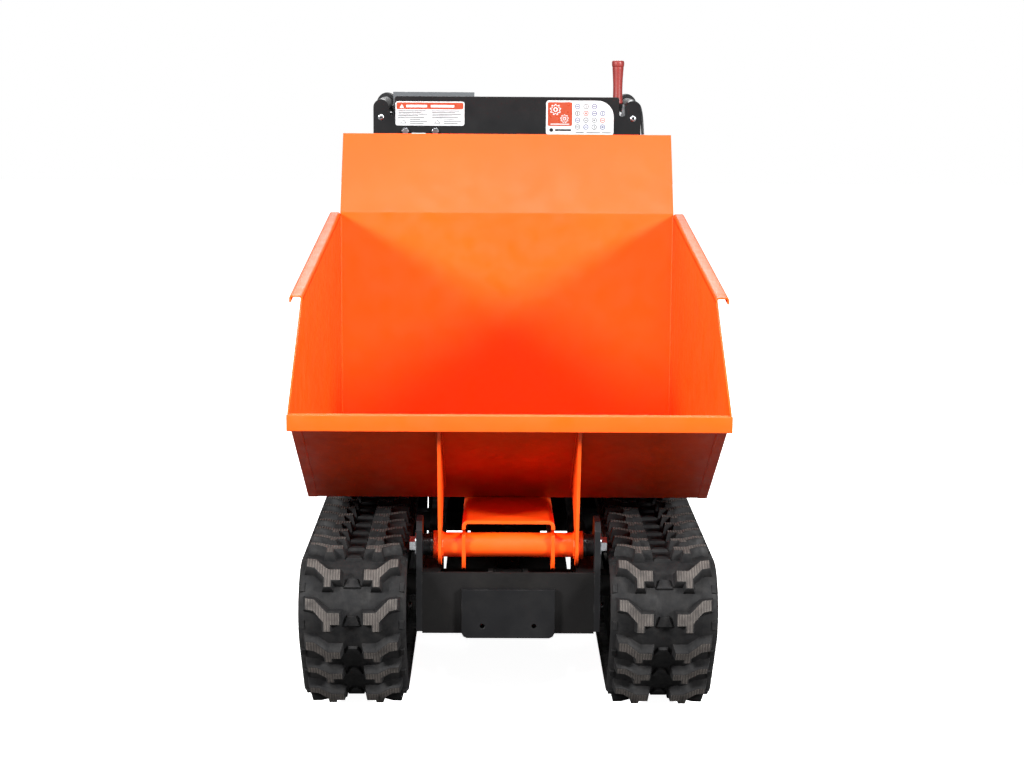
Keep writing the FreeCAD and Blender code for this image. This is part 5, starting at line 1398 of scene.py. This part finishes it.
# ---------------------------------------------------------------- carried-over nodes
FINISHES = (
    (CHASSIS_BLACK, "chassis_frame engine_deck track_frames hydraulic_power_pack gearbox_case "
                    "cylinder_barrel"),
    (BLACK, "pivot_ears belt_guard handlebars lever_perches gear_lever tip_lever throttle_lever"),
    (STEEL, "pivot_pin fixed_axles pinion_shaft main_gear"),
    (WASHERS, "pivot_washers"),
    (ZINC, "pivot_bolts lever_bracket cylinder_eye_pin"),
    (SHADED_ENGINE_ALLOY, "engine_block"),
    (BELT_RUBBER, "drive_belt"),
    (GREY, "rear_panel"),
    (SHEATH, "throttle_cable"),
    (CHROME, "cylinder_rod"),
    (IRON, "crank_pulley"),
    (PLASTIC, "fuel_cap"),
)


def dress_nodes():
    """Gives each carried-over node its finish and a small bevel."""
    for material, names in FINISHES:
        for name in names.split():
            piece = bpy.data.objects[name]
            piece.data.materials.clear()
            piece.data.materials.append(material)
            round_edges(piece, 0.0008, 2, 50)


# ---------------------------------------------------------------- studio
def make_floor_stage():
    bm = bmesh.new()
    reach = 14.0
    count = 8
    grid = [[bm.verts.new((-reach + 2 * reach * i / count, -reach + 2 * reach * j / count, 0.0))
             for i in range(count + 1)] for j in range(count + 1)]
    for j in range(count):
        for i in range(count):
            bm.faces.new((grid[j][i], grid[j][i + 1], grid[j + 1][i + 1], grid[j + 1][i]))
    material, tree, shader = new_material("studio_floor")
    path = tree.nodes.new("ShaderNodeLightPath")
    pale = ramp(tree, noise(tree, 0.6, 2), [(0.3, (0.90, 0.90, 0.90)), (0.7, (0.94, 0.94, 0.94))])
    link(tree, mix(tree, path.outputs["Is Camera Ray"], (0.12, 0.12, 0.12), pale),
         shader.inputs["Base Color"])
    shader.inputs["Roughness"].default_value = 0.9
    shader.inputs["Emission Color"].default_value = (1, 1, 1, 1)
    glow = math_node(tree, "MULTIPLY", path.outputs["Is Camera Ray"], 0.97)
    link(tree, glow, shader.inputs["Emission Strength"])
    floor = to_object("studio_floor", bm, [material], False)


def add_area(name, place, target, size, power):
    light = bpy.data.lights.new(name, "AREA")
    light.shape = "RECTANGLE"
    light.size, light.size_y = size
    light.energy = power
    lamp = bpy.data.objects.new(name, light)
    lamp.location = place
    way = Vector(target) - Vector(place)
    lamp.rotation_euler = way.to_track_quat("-Z", "Y").to_euler()
    bpy.context.scene.collection.objects.link(lamp)


def make_lights():
    world = bpy.data.worlds.new("studio")
    world.use_nodes = True
    tree = world.node_tree
    backdrop = tree.nodes["Background"]
    path = tree.nodes.new("ShaderNodeLightPath")
    mirrored = span(tree, part_of(tree, place_in(tree, "Generated"), "Y"), 0.22, 0.60, -0.1, 0.6)
    unlit = mix(tree, path.outputs["Is Glossy Ray"], (0.27, 0.27, 0.27), mirrored)
    link(tree, mix(tree, path.outputs["Is Camera Ray"], unlit, (1.0, 1.0, 1.0)), backdrop.inputs["Color"])
    backdrop.inputs["Strength"].default_value = 1.0
    bpy.context.scene.world = world
    for side in (-1, 1):
        add_area("softbox_" + ("left" if side < 0 else "right"), (side * 3.4, -3.2, 2.15), (0, 0.27, 0.5),
                 (0.9, 0.9), 445)
    add_area("key", (0.2, -2.4, 3.6), (0, -0.1, 0.4), (1.8, 1.2), 95)
    add_area("back", (0.0, 3.2, 3.4), (0, 0.5, 0.5), (2.2, 1.4), 120)


LENS_MM = 70.06
SENSOR_MM = 36.0
CAMERA_PLACE = (-0.025, -4.009, DATUM_Z + 1.073)
CAMERA_PAN = -0.0089
CAMERA_TILT = math.radians(80.747)
CAMERA_ROLL = 0.0065


def make_camera():
    lens = bpy.data.cameras.new("view")
    lens.lens = LENS_MM
    lens.sensor_width = SENSOR_MM
    lens.clip_end = 60
    camera = bpy.data.objects.new("view", lens)
    turn = Matrix.Rotation(CAMERA_PAN, 4, "Z") @ Matrix.Rotation(CAMERA_TILT, 4, "X")
    camera.matrix_world = Matrix.Translation(CAMERA_PLACE) @ turn @ Matrix.Rotation(CAMERA_ROLL, 4, "Z")
    bpy.context.scene.collection.objects.link(camera)
    bpy.context.scene.camera = camera
    bpy.context.scene.view_settings.view_transform = "Standard"


# ---------------------------------------------------------------- assembly
def build():
    make_camera()
    make_lights()
    make_floor_stage()
    make_slope()
    make_floor()
    make_back()
    make_ribs()
    make_channel()
    make_pivot_tube()
    make_bucket_welds()
    for side, label in ((-1, "left"), (1, "right")):
        make_side(side, label)
        make_belt(side, label)
        make_idler(side, label)
        make_sprocket(side, label)
        for letter in "abc":
            make_roller(side, label, letter)
        make_blade_lever("steering_blade_" + label, "steering_lever_" + label, "steering_lever_" + label,
                         side, 0.0)
    make_blade_lever("drive_blade", "drive_lever", "drive_lever", -1, -math.pi / 2)
    make_front_plate()
    make_console()
    make_warning_label()
    make_small_label()
    make_control_label()
    make_screws()
    make_grips()
    make_red_grip()
    make_recoil_cover()
    make_tank()
    make_air_filter()
    make_muffler()
    dress_nodes()


build()
